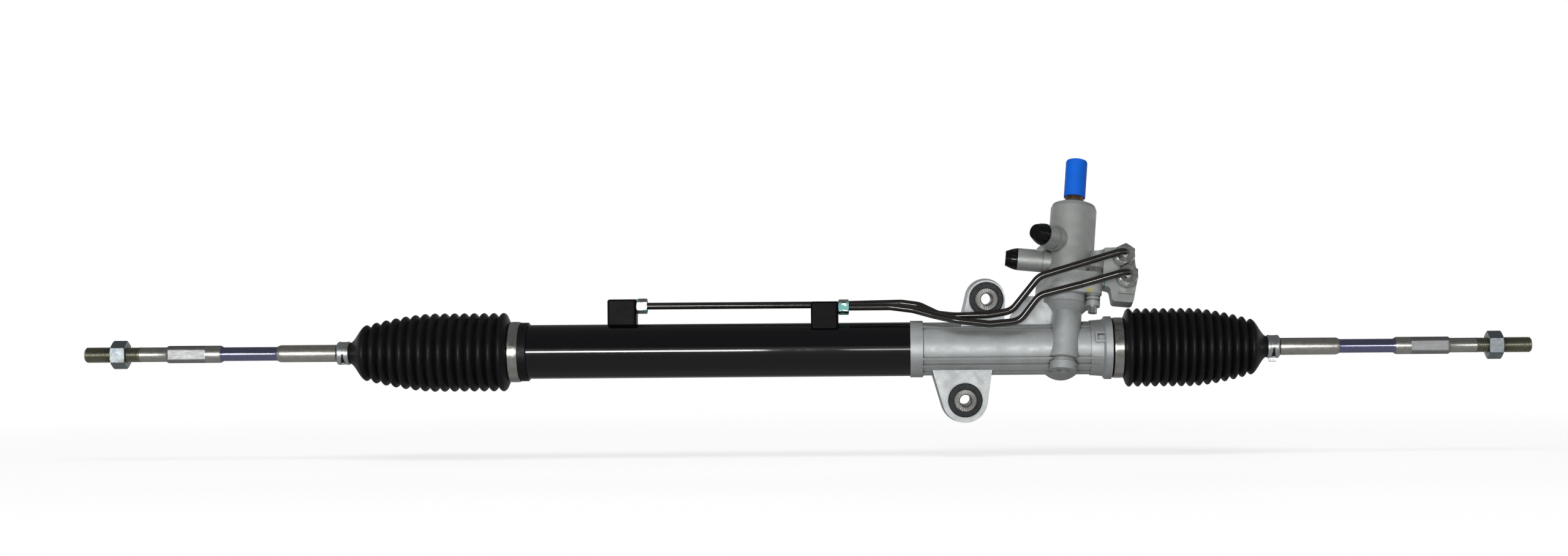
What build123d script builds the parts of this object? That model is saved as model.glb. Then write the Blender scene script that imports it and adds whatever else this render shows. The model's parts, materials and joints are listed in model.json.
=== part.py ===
"""Hydraulic power steering rack: rack and pinion in a cast housing, with a rotary valve and tie rods.

Frame: origin at the centre of the lower bush bore, +X along the rack towards the gear end's tie rod,
+Y away from the side the port wing faces, +Z from the lower bush towards the input shaft.
Lengths are in millimetres.
"""
from math import acos, cos, pi, radians, sin, sqrt, tan
import os

from build123d import *

# How far along a two-step rounded edge its middle point stands
EDGE_SHARE = 0.3

# Mounting bushes
RACK_HEIGHT = 45.5
UPPER_BUSH_X = 19.4
UPPER_BUSH_RISE = 44.5
BUSH_BORE_R = 5.1
SLEEVE_R = 10.2
SLEEVE_LENGTH = 44.0
SLEEVE_CHAMFER = 0.8
RUBBER_R = 14.0
RUBBER_LIP_R = 15.2
RUBBER_LIP = 2.0
LUG_DEPTH = 30.0
LUG_DRAFT = 3.0
LOWER_LUG_R = 21.8
UPPER_LUG_R = 18.4
LUG_ROOT_LEFT = 31.0
LUG_ROOT_RIGHT = 26.0
UPPER_ROOT_LEFT = 25.0
UPPER_ROOT_RIGHT = 17.0
LUG_ROOT_DEPTH = 6.8
LUG_ROOT_EDGE = 1.0
RUBBER_LIP_EDGE = 0.8

# Gear housing barrel, stations along X
HOUSING_LEFT = -48.6
COLLAR_LENGTH = 11.0
COLLAR_RISE = 1.2
BARREL_R = 23.8
RIB_HEIGHT = 1.6
RIB_WIDTH = 2.2
RIB_ANGLES = (53.0, -19.0, -36.0, -59.0, 127.0, 199.0)
FLANGE_START = 125.2
FLANGE_THICKNESS = 6.0
FLANGE_RISE = 4.0
NECK_END = 143.0
RACK_PASSAGE_R = 15.5
SPIGOT_LENGTH = 22.0
COLLAR_STEP = 1.0
FLANGE_SLOPE = 2.0
# The raised C-shaped pad on the front of the neck, open to the right, measured from the rack axis
PAD_LEFT = 115.7
PAD_BOTTOM = 6.1
PAD_TOP = 15.3
PAD_EDGE = 1.9
PAD_RISE = 1.2
# Web that ties the barrel to the valve joint's flange, as (x, height above the rack axis)
GUSSET = ((40.0, 18.0), (41.0, 29.0), (56.0, 47.0), (70.0, 46.5), (88.0, 40.0), (88.0, 18.0))
GUSSET_Y = -6.0
GUSSET_THICKNESS = 8.0
GUSSET_FILLET = 3.0

# Cylinder tube
TUBE_R = 24.2
TUBE_WALL = 3.0
TUBE_LEFT = -411.0
BLOCK_EDGE_R = 2.5
NEAR_BLOCK_X = -125.0
NEAR_BLOCK_Y = -5.0
NEAR_BLOCK_WIDTH = 24.5
NEAR_BLOCK_RISE = 19.3
FAR_BLOCK_X = -307.4
FAR_BLOCK_Y = 8.5
FAR_BLOCK_WIDTH = 26.0
FAR_BLOCK_RISE = 22.3
BLOCK_DEPTH = 18.0
PORT_PASSAGE_R = 2.0

# Rack bar and its travel
RACK_R = 13.5
TRAVEL_LEFT = 67.0
TRAVEL_RIGHT = 79.0
STOP_GAP = 2.0
PISTON_X = -222.0
PISTON_WIDTH = 14.0
PISTON_RING_WIDTH = 4.0
PISTON_RING_DEPTH = 3.0
PISTON_SEAT_DEPTH = 1.0
PISTON_GAP = 0.2
INNER_SEAL_X = -92.0
INNER_SEAL_WIDTH = 11.0
END_BUSH_WIDTH = 16.0
OUTER_SEAL_WIDTH = 9.0
SNAP_RING_WIDTH = 2.0
SNAP_RING_DEPTH = 2.5
SNAP_GROOVE_DEPTH = 1.0
SNAP_GAP = 8.0
TUBE_MARGIN = 4.0
RUNNING_GAP = 0.03
SEAL_GROOVE = 1.0

# Rack and pinion teeth
MODULE = 2.1
TEETH = 7
PRESSURE_ANGLE = 20.0
PROFILE_SHIFT = 0.55
PINION_TIP_FACTOR = 0.75
RACK_TIP_FACTOR = 0.95
RACK_ROOT_FACTOR = 0.94
PINION_ROOT_FACTOR = 1.25
BACKLASH = 0.10
SPACES_LEFT = 14
SPACES_RIGHT = 12
CENTRE_DISTANCE = 16.5
FLANK_STEPS = 6
ROOT_OVERLAP = 0.5

# Pinion axis: where it passes the rack, and which way it leans
PINION_X = 89.1
PINION_LEAN_X = 0.093
PINION_LEAN_Y = 0.275
PINION_LEAN_Z = 0.957

# Stations along the pinion axis, from the rack, towards the input shaft
PLUG_END = -25.0
PLUG_THICKNESS = 3.0
PLUG_RECESS = 1.0
PINION_END_GAP = 1.0
BEARING_END_GAP = 0.5
LOWER_BOSS_TOP = -17.0
LOWER_BOSS_R = 12.2
BOSS_NECK_TOP = -14.5
BOSS_NECK_R = 10.4
BOSS_R = 13.2
BOSS_TOP = 28.0
BOSS_BEVEL = 1.0
TEETH_START = -11.0
TEETH_END = 13.0
TEETH_END_GAP = 0.5
TEETH_RUNOUT = 3.0
CHAMBER_GAP = 0.6
STUB_R = 5.5
STUB_GAP = 1.0
LOWER_BEARING_R = 9.0
PINION_SHAFT_R = 8.5
UPPER_BEARING_R = 17.5
UPPER_BEARING_START = 34.0
UPPER_BEARING_WIDTH = 11.0
RACE_THICKNESS = 3.0
SHIELD_DEPTH = 1.0
GEAR_FLANGE_START = 42.0
JOINT = 50.0
GEAR_FLANGE_R = 25.0
LEDGE_START = 35.0
LEDGE_R = 22.0
LEDGE_NECK_R = 20.0
VALVE_FLANGE_THICKNESS = 11.5
EAR_RIGHT = 21.4
EAR_FRONT = 17.8
EAR_R = 7.2
EAR_COLUMN_START = 31.0
EAR_COLUMN_STEP = 1.0
EAR_GROOVES = (35.5, 39.0)
EAR_GROOVE_WIDTH = 1.4
EAR_GROOVE_DEPTH = 0.9
BOLT_R = 4.0
BOLT_CLEARANCE = 0.25
BOLT_ACROSS = 10.8
BOLT_CHAMFER = 0.8
BOLT_HEAD_HEIGHT = 5.5
BOLT_FLANGE_R = 7.0
BOLT_FLANGE_HEIGHT = 1.5
SPOT_FACE_GAP = 0.4
BOLT_TIP = 25.0
BOLT_TIP_GAP = 0.5

# Valve housing
TOWER_R = 20.7
TOWER_TOP = 130.0
TOWER_SHOULDER = 5.0
TOWER_FOOT_HEIGHT = 4.0
TOWER_FOOT_R = 23.0
VALVE_BORE_GAP = 0.15
VALVE_BORE_TOP = 109.0
SHAFT_BEARING_R = 12.5
SHAFT_BEARING_WIDTH = 10.0
SHAFT_SEAL_R = 13.0
SHAFT_SEAL_WIDTH = 8.0
SHAFT_SEAL_BACK = 1.0
SEAL_LIP_FLARE = 1.0
SEAL_LIP_DROP = 1.0
SEAL_LIP_RISE = 2.5
SEAL_LIP_WALL = 1.6
SEAL_LAND = 3.0
PORT_BOSS_R = 10.0
PORT_COLLAR_R = 11.2
PORT_COLLAR_WIDTH = 4.0
PORT_BORE_R = 7.0
PORT_BORE_DEPTH = 13.0
PORT_DRILL_R = 4.0
LOWER_PORT_STATION = 74.5
LOWER_PORT_REACH = 47.5
LOWER_PORT_TURN = 0.0
UPPER_PORT_STATION = 91.5
UPPER_PORT_REACH = 37.6
UPPER_PORT_TURN = 44.0
# Web between the two hose ports, as (to the left of the pinion axis, station along it)
PORT_WEB = ((12.0, 68.0), (33.0, 76.0), (31.0, 84.0), (24.0, 92.0), (12.0, 94.0))
PORT_WEB_BACK = -3.0
PORT_WEB_FRONT = 7.0

# Port wing, measured to the right of the pinion axis, along it, and in front of it
WING_BACK = 1.0
WING_FRONT = 19.0
LINE_PORT_FRONT = 24.0
LINE_PORT_R = 9.4
UPPER_LINE_RIGHT = 46.4
UPPER_LINE_STATION = 78.8
LOWER_LINE_RIGHT = 50.2
LOWER_LINE_STATION = 60.1
WING_FOOT_RIGHT = 57.0
WING_FOOT_LEFT = 38.5
WING_FOOT_STATION = 37.5
WING_ROOT_RIGHT = 17.0
WING_ROOT_TOP = 85.0
WING_ROOT_BOTTOM = 53.0
WING_FILLET = 3.0
WING_RIB_LEFT = 43.0
WING_RIB_STATION = 46.0
WING_RIB_WIDTH = 1.6
WING_RIB_RISE = 1.2
LINE_BORE_R = 5.0
LINE_BORE_DEPTH = 12.0
WING_BORE_DEPTH = 18.0

# Valve and input shaft
SPIGOT_R = 12.0
PINION_TOP = 58.0
DOG_WIDTH = 8.0
DOG_SLACK = 1.5
DOG_HALF = 8.0
DOG_START = 51.0
DOG_END_GAP = 0.5
SLEEVE_START = 54.0
SLEEVE_TOP = 107.0
SLEEVE_OUTER_R = 14.9
SPOOL_R = 10.15
SPOOL_GAP = 0.05
SPOOL_CLEARANCE = 0.5
RING_GROOVE_DEPTH = 1.1
RING_GROOVE_WIDTH = 2.0
VALVE_RINGS = 4
SHAFT_R = 8.4
SHAFT_STEP = 0.5
SHAFT_CHAMFER = 1.0
SPLINE_START = 134.0
SPLINE_END = 158.0
SPLINES = 36
SPLINE_DEPTH = 0.7
PILOT_R = 7.6
SHAFT_TOP = 168.0
TORSION_R = 2.6
TORSION_HEAD_R = 4.2
TORSION_BOTTOM = 15.0
TORSION_HEAD_LENGTH = 11.0
TORSION_BORE_R = 4.8
PIN_STATION = 162.0
PIN_R = 1.5
PIN_GAP = 0.05

# Cap and plugs
CAP_R = 9.75
CAP_START = 137.0
CAP_TOP = 172.3
CAP_WALL_TOP = 3.0
CAP_GAP = 0.06
CAP_EDGE = 2.0
PORT_PLUG_HEAD = 11.0
PORT_PLUG_HEAD_R = 9.8
PORT_PLUG_TIP_R = 6.6
PORT_PLUG_SHANK = 9.0
PORT_PLUG_RIM = 1.5
PORT_PLUG_TAPER = 1.0
PORT_PLUG_FLUTES = 12
FLUTE_R = 0.9
PLUG_GAP = 0.05

# Rack support yoke, distances behind the rack axis
YOKE_R = 14.5
YOKE_BORE_GAP = 0.05
YOKE_START = 4.0
YOKE_END = 27.0
LINER_THICKNESS = 0.8
LINER_LENGTH = 24.0
YOKE_RECESS = 3.0
YOKE_RECESS_R = 7.25
YOKE_SPRING_GAP = 2.6
SPRING_RIM = 1.5
SPRING_HOLE_R = 8.25
ADJUSTER_END = 43.0
YOKE_BOSS_R = 20.5
YOKE_BOSS_END = 40.0
LOCK_NUT_ACROSS = 33.8
LOCK_NUT_CHAMFER = 1.0
LOCK_NUT_WIDTH = 5.0
ADJUSTER_SOCKET_R = 6.0
ADJUSTER_SOCKET_DEPTH = 6.0
SPRING_THICKNESS = 1.0

# Tie rods, distances outward from the ball's centre
BALL_R = 12.5
SOCKET_BACK = 20.0
SOCKET_R = 17.0
SOCKET_FRONT = 11.5
SOCKET_NOSE = 2.0
SOCKET_CHAMFER = 1.0
SEAT_THICKNESS = 2.0
SEAT_OPENING = 52.0
SOCKET_OPENING = 56.0
SOCKET_FLARE_R = 14.6
SOCKET_FLAT = 31.0
SOCKET_FLAT_LENGTH = 9.0
SOCKET_STUB_R = 8.0
SOCKET_STUB_LENGTH = 16.0
BALL_GAP = 0.05
ROD_NECK_R = 6.5
NECK_END_AT = 17.0
SHANK_R = 7.7
SHANK_START = 21.0
CLIP_SEAT_START = 38.0
CLIP_SEAT_END = 51.0
CLIP_SEAT_R = 7.0
SHANK_END = 101.6
STEP_LENGTH = 3.0
THIN_R = 6.2
THIN_END = 152.7
FLATS_R = 7.8
FLATS_START = 168.0
FLATS_END = 201.8
FLATS_ACROSS = 12.6
FLATS_SLOPE = 2.0
SMOOTH_R = 6.6
THREAD_STEP = 0.5
SMOOTH_END = 227.2
THREAD_R = 7.0
ROD_TIP = 276.5
TIP_CHAMFER = 1.5
NUT_ACROSS = 22.0
NUT_HEIGHT = 12.7
NUT_SETBACK_LEFT = 24.8
NUT_SETBACK_RIGHT = 26.6
NUT_FACE_GAP = 0.5
NUT_RUN_STEP = 0.25
NUT_CHAMFER = 1.2
WASHER_R = 15.5
WASHER_THICKNESS = 1.5

# Boots
BOOT_CRESTS = 15
BOOT_R = 35.2
BOOT_LAST_R = 25.0
BOOT_DEPTH = 5.6
CREST_FLAT = 1.6
VALLEY_FLAT = 1.6
BOOT_WALL = 1.6
BOOT_TAPER_FROM = 7
BOOT_TAPER_POWER = 1.6
BOOT_COLLAR_WALL = 2.0
BOOT_SEAT_GAP = 0.1
LEFT_BOOT_LIP = 7.5
RIGHT_BOOT_LIP = 0.8
LEFT_FIRST_CREST = 10.5
LEFT_LAST_CREST = 134.0
RIGHT_FIRST_CREST = 10.0
RIGHT_LAST_CREST = 120.0
SMALL_COLLAR_R = 9.4
SMALL_COLLAR_WIDTH = 12.0
BAND_THICKNESS = 0.9
BAND_WIDTH = 9.6
COLLAR_MARGIN = 1.0
CLIP_R = 10.5
CLIP_WIDTH = 8.0
CLIP_GAP = 0.1
CLIP_EAR = 4.0
CLIP_EAR_ROOT = 1.0
LEFT_BAND_X = -402.8
RIGHT_BAND_X = 137.3

# Hydraulic pipes and flare nuts
PIPE_R = 3.15
PIPE_BORE_R = 2.2
PIPE_BEND_LIMIT = 16.0
PIPE_BEND_SHARE = 0.45
PIPE_FIRST_SHARE = 0.95
PIPE_CROSSING = 1.2
PIPE_EXIT = 18.5
PIPE_ENTRY = 9.0
SMALL_NUT_ACROSS = 12.0
SMALL_NUT_LENGTH = 9.5
LARGE_NUT_ACROSS = 16.5
LARGE_NUT_LENGTH = 8.0
NUT_THREAD_LENGTH = 8.0
LINE_PORT_RISE_NEAR = 14.0
LINE_PORT_RISE_FAR = 16.0

os.makedirs("parts", exist_ok=True)


def unit(vector):
    """The vector at length one."""
    return vector.normalized()


def write(part, name):
    """Label a finished piece and write its STEP file."""
    part.label = name
    export_step(part, f"parts/{name}.step")


# The pinion's axis and the two directions square to it
along = unit(Vector(PINION_LEAN_X, PINION_LEAN_Y, PINION_LEAN_Z))
front = unit(Vector(1, 0, 0).cross(along))
right = along.cross(front)
rack_centre = Vector(PINION_X, 0, RACK_HEIGHT)
pinion_centre = rack_centre + front * CENTRE_DISTANCE


def tower_point(station, to_right=0.0, to_front=0.0):
    """A place measured along the pinion axis, to its right and to its front."""
    return pinion_centre + along * station + right * to_right + front * to_front


# Frames whose local X runs along an axis and local Y away from it
rack_frame = Plane(origin=(0, 0, RACK_HEIGHT), x_dir=(1, 0, 0), z_dir=(0, -1, 0))
pinion_frame = Plane(origin=pinion_centre, x_dir=along, z_dir=right)
# A frame square to the pinion axis: local X to the right, local Y towards the rack
tooth_frame = Plane(origin=pinion_centre, x_dir=right, z_dir=along)
yoke_frame = Plane(origin=rack_centre, x_dir=-front, z_dir=right)
lower_bush_frame = Plane(origin=(0, 0, 0), x_dir=(0, -1, 0), z_dir=(1, 0, 0))
upper_bush_frame = Plane(
    origin=(UPPER_BUSH_X, 0, RACK_HEIGHT + UPPER_BUSH_RISE), x_dir=(0, -1, 0), z_dir=(1, 0, 0)
)


def turn(frame, outline, mode=Mode.ADD):
    """Revolve an outline of (station, radius) points about the frame's local X axis."""
    with BuildSketch(frame) as half:
        with BuildLine():
            Polyline(*outline, close=True)
        make_face()
    revolve(half.sketch, axis=Axis(frame.origin, frame.x_dir), mode=mode)


def ring(frame, start, end, inner, outer, mode=Mode.ADD):
    """A plain ring, or a disc where inner is 0, between two stations on the frame's local X axis."""
    turn(frame, [(start, inner), (end, inner), (end, outer), (start, outer)], mode)


def port_frame(station, turned):
    """Frame of a hose port: local X points out of it, turned from the left towards the front."""
    outward = right * -cos(radians(turned)) + front * sin(radians(turned))
    return Plane(origin=tower_point(station), x_dir=outward, z_dir=along)


def line_frame(to_right, station):
    """Frame of a line port on the wing: local X points forward out of its face."""
    return Plane(origin=tower_point(station, to_right, LINE_PORT_FRONT), x_dir=front, z_dir=right)


lower_port_frame = port_frame(LOWER_PORT_STATION, LOWER_PORT_TURN)
upper_port_frame = port_frame(UPPER_PORT_STATION, UPPER_PORT_TURN)
upper_line_frame = line_frame(UPPER_LINE_RIGHT, UPPER_LINE_STATION)
lower_line_frame = line_frame(LOWER_LINE_RIGHT, LOWER_LINE_STATION)

# Sizes that follow from the teeth
pitch_r = MODULE * TEETH / 2
base_r = pitch_r * cos(radians(PRESSURE_ANGLE))
pinion_tip_r = pitch_r + MODULE * (PINION_TIP_FACTOR + PROFILE_SHIFT)
pinion_root_r = pitch_r - MODULE * (PINION_ROOT_FACTOR - PROFILE_SHIFT)
rack_reference = pitch_r + PROFILE_SHIFT * MODULE
rack_tips = rack_reference - RACK_TIP_FACTOR * MODULE
rack_roots = rack_reference + RACK_ROOT_FACTOR * MODULE
tooth_pitch = pi * MODULE
chamber_r = pinion_tip_r + CHAMBER_GAP

# Sizes that follow from the tube, the barrel and the valve sleeve
tube_inner_r = TUBE_R - TUBE_WALL
collar_r = TUBE_R + COLLAR_RISE
flange_r = TUBE_R + FLANGE_RISE
near_port_height = TUBE_R + LINE_PORT_RISE_NEAR
far_port_height = TUBE_R + LINE_PORT_RISE_FAR
boot_seat_r = TUBE_R + BOOT_SEAT_GAP
boot_collar_r = boot_seat_r + BOOT_COLLAR_WALL
band_r = boot_collar_r + BAND_THICKNESS
lug_root = BARREL_R - LUG_ROOT_DEPTH
valve_bore_r = SLEEVE_OUTER_R + VALVE_BORE_GAP

# Frames of the two blocks' line ports: local X points out of each, to the right
near_block_right = NEAR_BLOCK_X + NEAR_BLOCK_WIDTH / 2
far_block_right = FAR_BLOCK_X + FAR_BLOCK_WIDTH / 2
near_line_frame = Plane(
    origin=(near_block_right, NEAR_BLOCK_Y, RACK_HEIGHT + near_port_height),
    x_dir=(1, 0, 0),
    z_dir=(0, -1, 0),
)
far_line_frame = Plane(
    origin=(far_block_right, FAR_BLOCK_Y, RACK_HEIGHT + far_port_height),
    x_dir=(1, 0, 0),
    z_dir=(0, -1, 0),
)

# Ball joints: each stop is a travel and a small gap away from its end of the housing or tube
right_ball_x = NECK_END + STOP_GAP + TRAVEL_LEFT + SOCKET_BACK
left_ball_x = TUBE_LEFT - STOP_GAP - TRAVEL_RIGHT - SOCKET_BACK
rack_right_end = right_ball_x - SOCKET_BACK - WASHER_THICKNESS
rack_left_end = left_ball_x + SOCKET_BACK + WASHER_THICKNESS


def flange_outline():
    """The two-eared outline that both flanges of the valve joint share."""
    Circle(GEAR_FLANGE_R)
    with Locations((EAR_RIGHT, -EAR_FRONT), (-EAR_RIGHT, EAR_FRONT)):
        Circle(EAR_R)
    make_hull()


def lug(outline_frame, lug_r, root_left, root_right, root_rise):
    """A drafted mounting lug: a round eye run into a wide root on the barrel."""
    with BuildSketch(outline_frame) as eye:
        Circle(lug_r)
        with Locations(((root_right - root_left) / 2, root_rise)):
            Rectangle(root_left + root_right, LUG_ROOT_EDGE)
        make_hull()
    extrude(eye.sketch, amount=LUG_DEPTH, taper=LUG_DRAFT)


def ear_frame(side):
    """Frame of one flange bolt: local X along the pinion axis, side +1 for the ear in front."""
    return Plane(
        origin=tower_point(0, side * EAR_RIGHT, side * EAR_FRONT), x_dir=along, z_dir=right
    )


def ear_column(frame):
    """The grooved column that carries one flange bolt's thread below its ear."""
    column_r = EAR_R - EAR_COLUMN_STEP
    outline = [(EAR_COLUMN_START, 0), (EAR_COLUMN_START, column_r)]
    for groove in EAR_GROOVES:
        outline.append((groove, column_r))
        outline.append((groove, column_r - EAR_GROOVE_DEPTH))
        outline.append((groove + EAR_GROOVE_WIDTH, column_r - EAR_GROOVE_DEPTH))
        outline.append((groove + EAR_GROOVE_WIDTH, column_r))
    outline.append((JOINT, column_r))
    outline.append((JOINT, 0))
    turn(frame, outline)


def gear_housing_body():
    """The outer form of the casting, before any bore."""
    collar_end = HOUSING_LEFT + COLLAR_LENGTH
    flange_end = FLANGE_START + FLANGE_THICKNESS
    turn(
        rack_frame,
        [
            (HOUSING_LEFT - SPIGOT_LENGTH, 0),
            (NECK_END, 0),
            (NECK_END, TUBE_R),
            (flange_end, TUBE_R),
            (flange_end, flange_r),
            (FLANGE_START, flange_r),
            (FLANGE_START - FLANGE_SLOPE, BARREL_R + RIB_HEIGHT),
            (FLANGE_START - FLANGE_SLOPE - COLLAR_LENGTH, BARREL_R + RIB_HEIGHT / 2),
            (FLANGE_START - FLANGE_SLOPE - COLLAR_LENGTH, BARREL_R),
            (collar_end + COLLAR_STEP, BARREL_R),
            (collar_end, collar_r),
            (HOUSING_LEFT, collar_r),
            (HOUSING_LEFT, tube_inner_r),
            (HOUSING_LEFT - SPIGOT_LENGTH, tube_inner_r),
        ],
    )
    rib_start = collar_end - COLLAR_STEP
    rib_end = FLANGE_START
    for angle in RIB_ANGLES:
        rib_frame = Plane(
            origin=(rib_start, 0, RACK_HEIGHT),
            x_dir=(0, sin(radians(angle)), cos(radians(angle))),
            z_dir=(1, 0, 0),
        )
        with BuildSketch(rib_frame) as rib:
            with Locations((0, (BARREL_R + RIB_HEIGHT) / 2)):
                Rectangle(RIB_WIDTH, BARREL_R + RIB_HEIGHT)
        extrude(rib.sketch, amount=rib_end - rib_start)
    turn(
        pinion_frame,
        [
            (PLUG_END, 0),
            (JOINT, 0),
            (JOINT, GEAR_FLANGE_R),
            (GEAR_FLANGE_START, GEAR_FLANGE_R),
            (GEAR_FLANGE_START, LEDGE_R),
            (LEDGE_START, LEDGE_R),
            (LEDGE_START, LEDGE_NECK_R),
            (BOSS_TOP, BOSS_R),
            (BOSS_NECK_TOP + BOSS_BEVEL, BOSS_R),
            (BOSS_NECK_TOP, BOSS_NECK_R),
            (LOWER_BOSS_TOP, BOSS_NECK_R),
            (LOWER_BOSS_TOP - BOSS_BEVEL, LOWER_BOSS_R),
            (PLUG_END, LOWER_BOSS_R),
        ],
    )
    with BuildSketch(tooth_frame.offset(GEAR_FLANGE_START)) as flange:
        flange_outline()
    extrude(flange.sketch, amount=JOINT - GEAR_FLANGE_START)
    for side in (1, -1):
        ear_column(ear_frame(side))
    ring(yoke_frame, 0, YOKE_BOSS_END, 0, YOKE_BOSS_R)
    with BuildSketch(Plane(origin=(0, GUSSET_Y, RACK_HEIGHT), x_dir=(1, 0, 0), z_dir=(0, -1, 0))) as web:
        with BuildLine():
            Polyline(*GUSSET, close=True)
        make_face()
        fillet(web.vertices().sort_by(Axis.Z)[-2:], GUSSET_FILLET)
    extrude(web.sketch, amount=GUSSET_THICKNESS / 2, both=True)


def neck_pad():
    """The C-shaped pad that is cast proud of the neck, its open end against the flange."""
    length = FLANGE_START - PAD_LEFT
    height = PAD_TOP - PAD_BOTTOM
    middle = (PAD_LEFT + length / 2, 0, RACK_HEIGHT + PAD_BOTTOM + height / 2)
    with BuildPart() as pad:
        with BuildSketch(Plane(origin=middle, x_dir=(1, 0, 0), z_dir=(0, -1, 0))) as c_shape:
            Rectangle(length, height)
            with Locations((PAD_EDGE, 0)):
                Rectangle(length, height - 2 * PAD_EDGE, mode=Mode.SUBTRACT)
        extrude(c_shape.sketch, amount=2 * BARREL_R)
        pad_r = BARREL_R + RIB_HEIGHT + PAD_RISE
        ring(rack_frame, PAD_LEFT, FLANGE_START, RACK_PASSAGE_R, pad_r, Mode.INTERSECT)
    return pad.part


def gear_housing_bores():
    """Everything that is bored out of the casting."""
    ring(rack_frame, HOUSING_LEFT - SPIGOT_LENGTH, NECK_END, 0, RACK_PASSAGE_R, Mode.SUBTRACT)
    turn(
        pinion_frame,
        [
            (PLUG_END, 0),
            (JOINT, 0),
            (JOINT, UPPER_BEARING_R),
            (UPPER_BEARING_START, UPPER_BEARING_R),
            (UPPER_BEARING_START, chamber_r),
            (TEETH_START - TEETH_END_GAP, chamber_r),
            (TEETH_START - TEETH_END_GAP, STUB_R + STUB_GAP),
            (LOWER_BOSS_TOP, STUB_R + STUB_GAP),
            (LOWER_BOSS_TOP, LOWER_BEARING_R),
            (PLUG_END, LOWER_BEARING_R),
        ],
        Mode.SUBTRACT,
    )
    ring(yoke_frame, 0, YOKE_BOSS_END, 0, YOKE_R + YOKE_BORE_GAP, Mode.SUBTRACT)
    ring(lower_bush_frame, -LUG_DEPTH, LUG_DEPTH, 0, RUBBER_R, Mode.SUBTRACT)
    ring(upper_bush_frame, -LUG_DEPTH, LUG_DEPTH, 0, RUBBER_R, Mode.SUBTRACT)
    hole_start = BOLT_TIP - BOLT_TIP_GAP
    with BuildSketch(tooth_frame.offset(hole_start)) as holes:
        with Locations((EAR_RIGHT, -EAR_FRONT), (-EAR_RIGHT, EAR_FRONT)):
            Circle(BOLT_R)
    extrude(holes.sketch, amount=JOINT - hole_start, mode=Mode.SUBTRACT)


with BuildPart() as gear_housing:
    gear_housing_body()
    lower_lug_frame = Plane(origin=(0, LUG_DEPTH / 2, 0), x_dir=(1, 0, 0), z_dir=(0, -1, 0))
    lug(lower_lug_frame, LOWER_LUG_R, LUG_ROOT_LEFT, LUG_ROOT_RIGHT, RACK_HEIGHT - lug_root)
    upper_lug_frame = Plane(
        origin=(UPPER_BUSH_X, LUG_DEPTH / 2, RACK_HEIGHT + UPPER_BUSH_RISE),
        x_dir=(1, 0, 0),
        z_dir=(0, -1, 0),
    )
    lug(upper_lug_frame, UPPER_LUG_R, UPPER_ROOT_LEFT, UPPER_ROOT_RIGHT, lug_root - UPPER_BUSH_RISE)
    add(neck_pad())
    gear_housing_bores()
write(gear_housing.part, "gear_housing")


def square_to(frame, station):
    """The plane square to a frame's local X axis at a station on it."""
    return Plane(
        origin=frame.origin + frame.x_dir * station, x_dir=frame.y_dir, z_dir=frame.x_dir
    )


def flats(frame, start, end, across, reach):
    """Cut two opposite flats into a round shape between two stations."""
    with BuildSketch(square_to(frame, start)) as both:
        Rectangle(2 * reach, 2 * reach)
        Rectangle(2 * reach, across, mode=Mode.SUBTRACT)
    extrude(both.sketch, amount=end - start, mode=Mode.SUBTRACT)


def hexagon(frame, start, end, across, chamfer):
    """A hexagonal prism with its end corners chamfered round."""
    with BuildSketch(square_to(frame, start)) as six:
        RegularPolygon(across / 2, 6, major_radius=False)
    extrude(six.sketch, amount=end - start)
    corner = across / sqrt(3)
    turn(
        frame,
        [
            (start, 0),
            (start, corner - chamfer),
            (start + chamfer / 2, corner),
            (end - chamfer / 2, corner),
            (end, corner - chamfer),
            (end, 0),
        ],
        Mode.INTERSECT,
    )


def bore(frame, start, end, radius):
    """A round hole between two stations on a frame's local X axis."""
    ring(frame, start, end, 0, radius, Mode.SUBTRACT)


def passage(block_x, block_y, port_height):
    """The drilling from a block's port down through the tube wall."""
    drop_frame = Plane(
        origin=(block_x, block_y, RACK_HEIGHT + port_height), x_dir=(0, 0, -1), z_dir=(0, 1, 0)
    )
    bore(drop_frame, 0, port_height - tube_inner_r / 2, PORT_PASSAGE_R)


# Cylinder tube, with the drillings under its two port blocks and the snap ring groove
snap_start = TUBE_LEFT + TUBE_MARGIN
bush_start = snap_start + SNAP_RING_WIDTH
outer_seal_start = bush_start + END_BUSH_WIDTH
with BuildPart() as cylinder_tube:
    ring(rack_frame, TUBE_LEFT, HOUSING_LEFT, tube_inner_r, TUBE_R)
    ring(rack_frame, snap_start, bush_start, 0, tube_inner_r + SNAP_GROOVE_DEPTH, Mode.SUBTRACT)
    passage(NEAR_BLOCK_X, NEAR_BLOCK_Y, near_port_height)
    passage(FAR_BLOCK_X, FAR_BLOCK_Y, far_port_height)
write(cylinder_tube.part, "cylinder_tube")


def port_block(block_x, block_y, width, top, line_port, port_height):
    """A welded block that stands on the tube and takes a flare nut on its right face."""
    foot = Plane.XY.offset(RACK_HEIGHT + tube_inner_r / 2)
    with BuildSketch(foot) as plan:
        with Locations((block_x, block_y)):
            RectangleRounded(width, BLOCK_DEPTH, BLOCK_EDGE_R)
    extrude(plan.sketch, amount=top - tube_inner_r / 2)
    top_edges = edges().filter_by(GeomType.LINE).group_by(Axis.Z)[-1]
    chamfer(top_edges, BLOCK_EDGE_R / 2)
    ring(rack_frame, block_x - width, block_x + width, 0, TUBE_R, Mode.SUBTRACT)
    bore(line_port, -LINE_BORE_DEPTH, 0, LINE_BORE_R)
    passage(block_x, block_y, port_height)


with BuildPart() as near_port_block:
    port_block(
        NEAR_BLOCK_X,
        NEAR_BLOCK_Y,
        NEAR_BLOCK_WIDTH,
        TUBE_R + NEAR_BLOCK_RISE,
        near_line_frame,
        near_port_height,
    )
write(near_port_block.part, "near_port_block")

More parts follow.
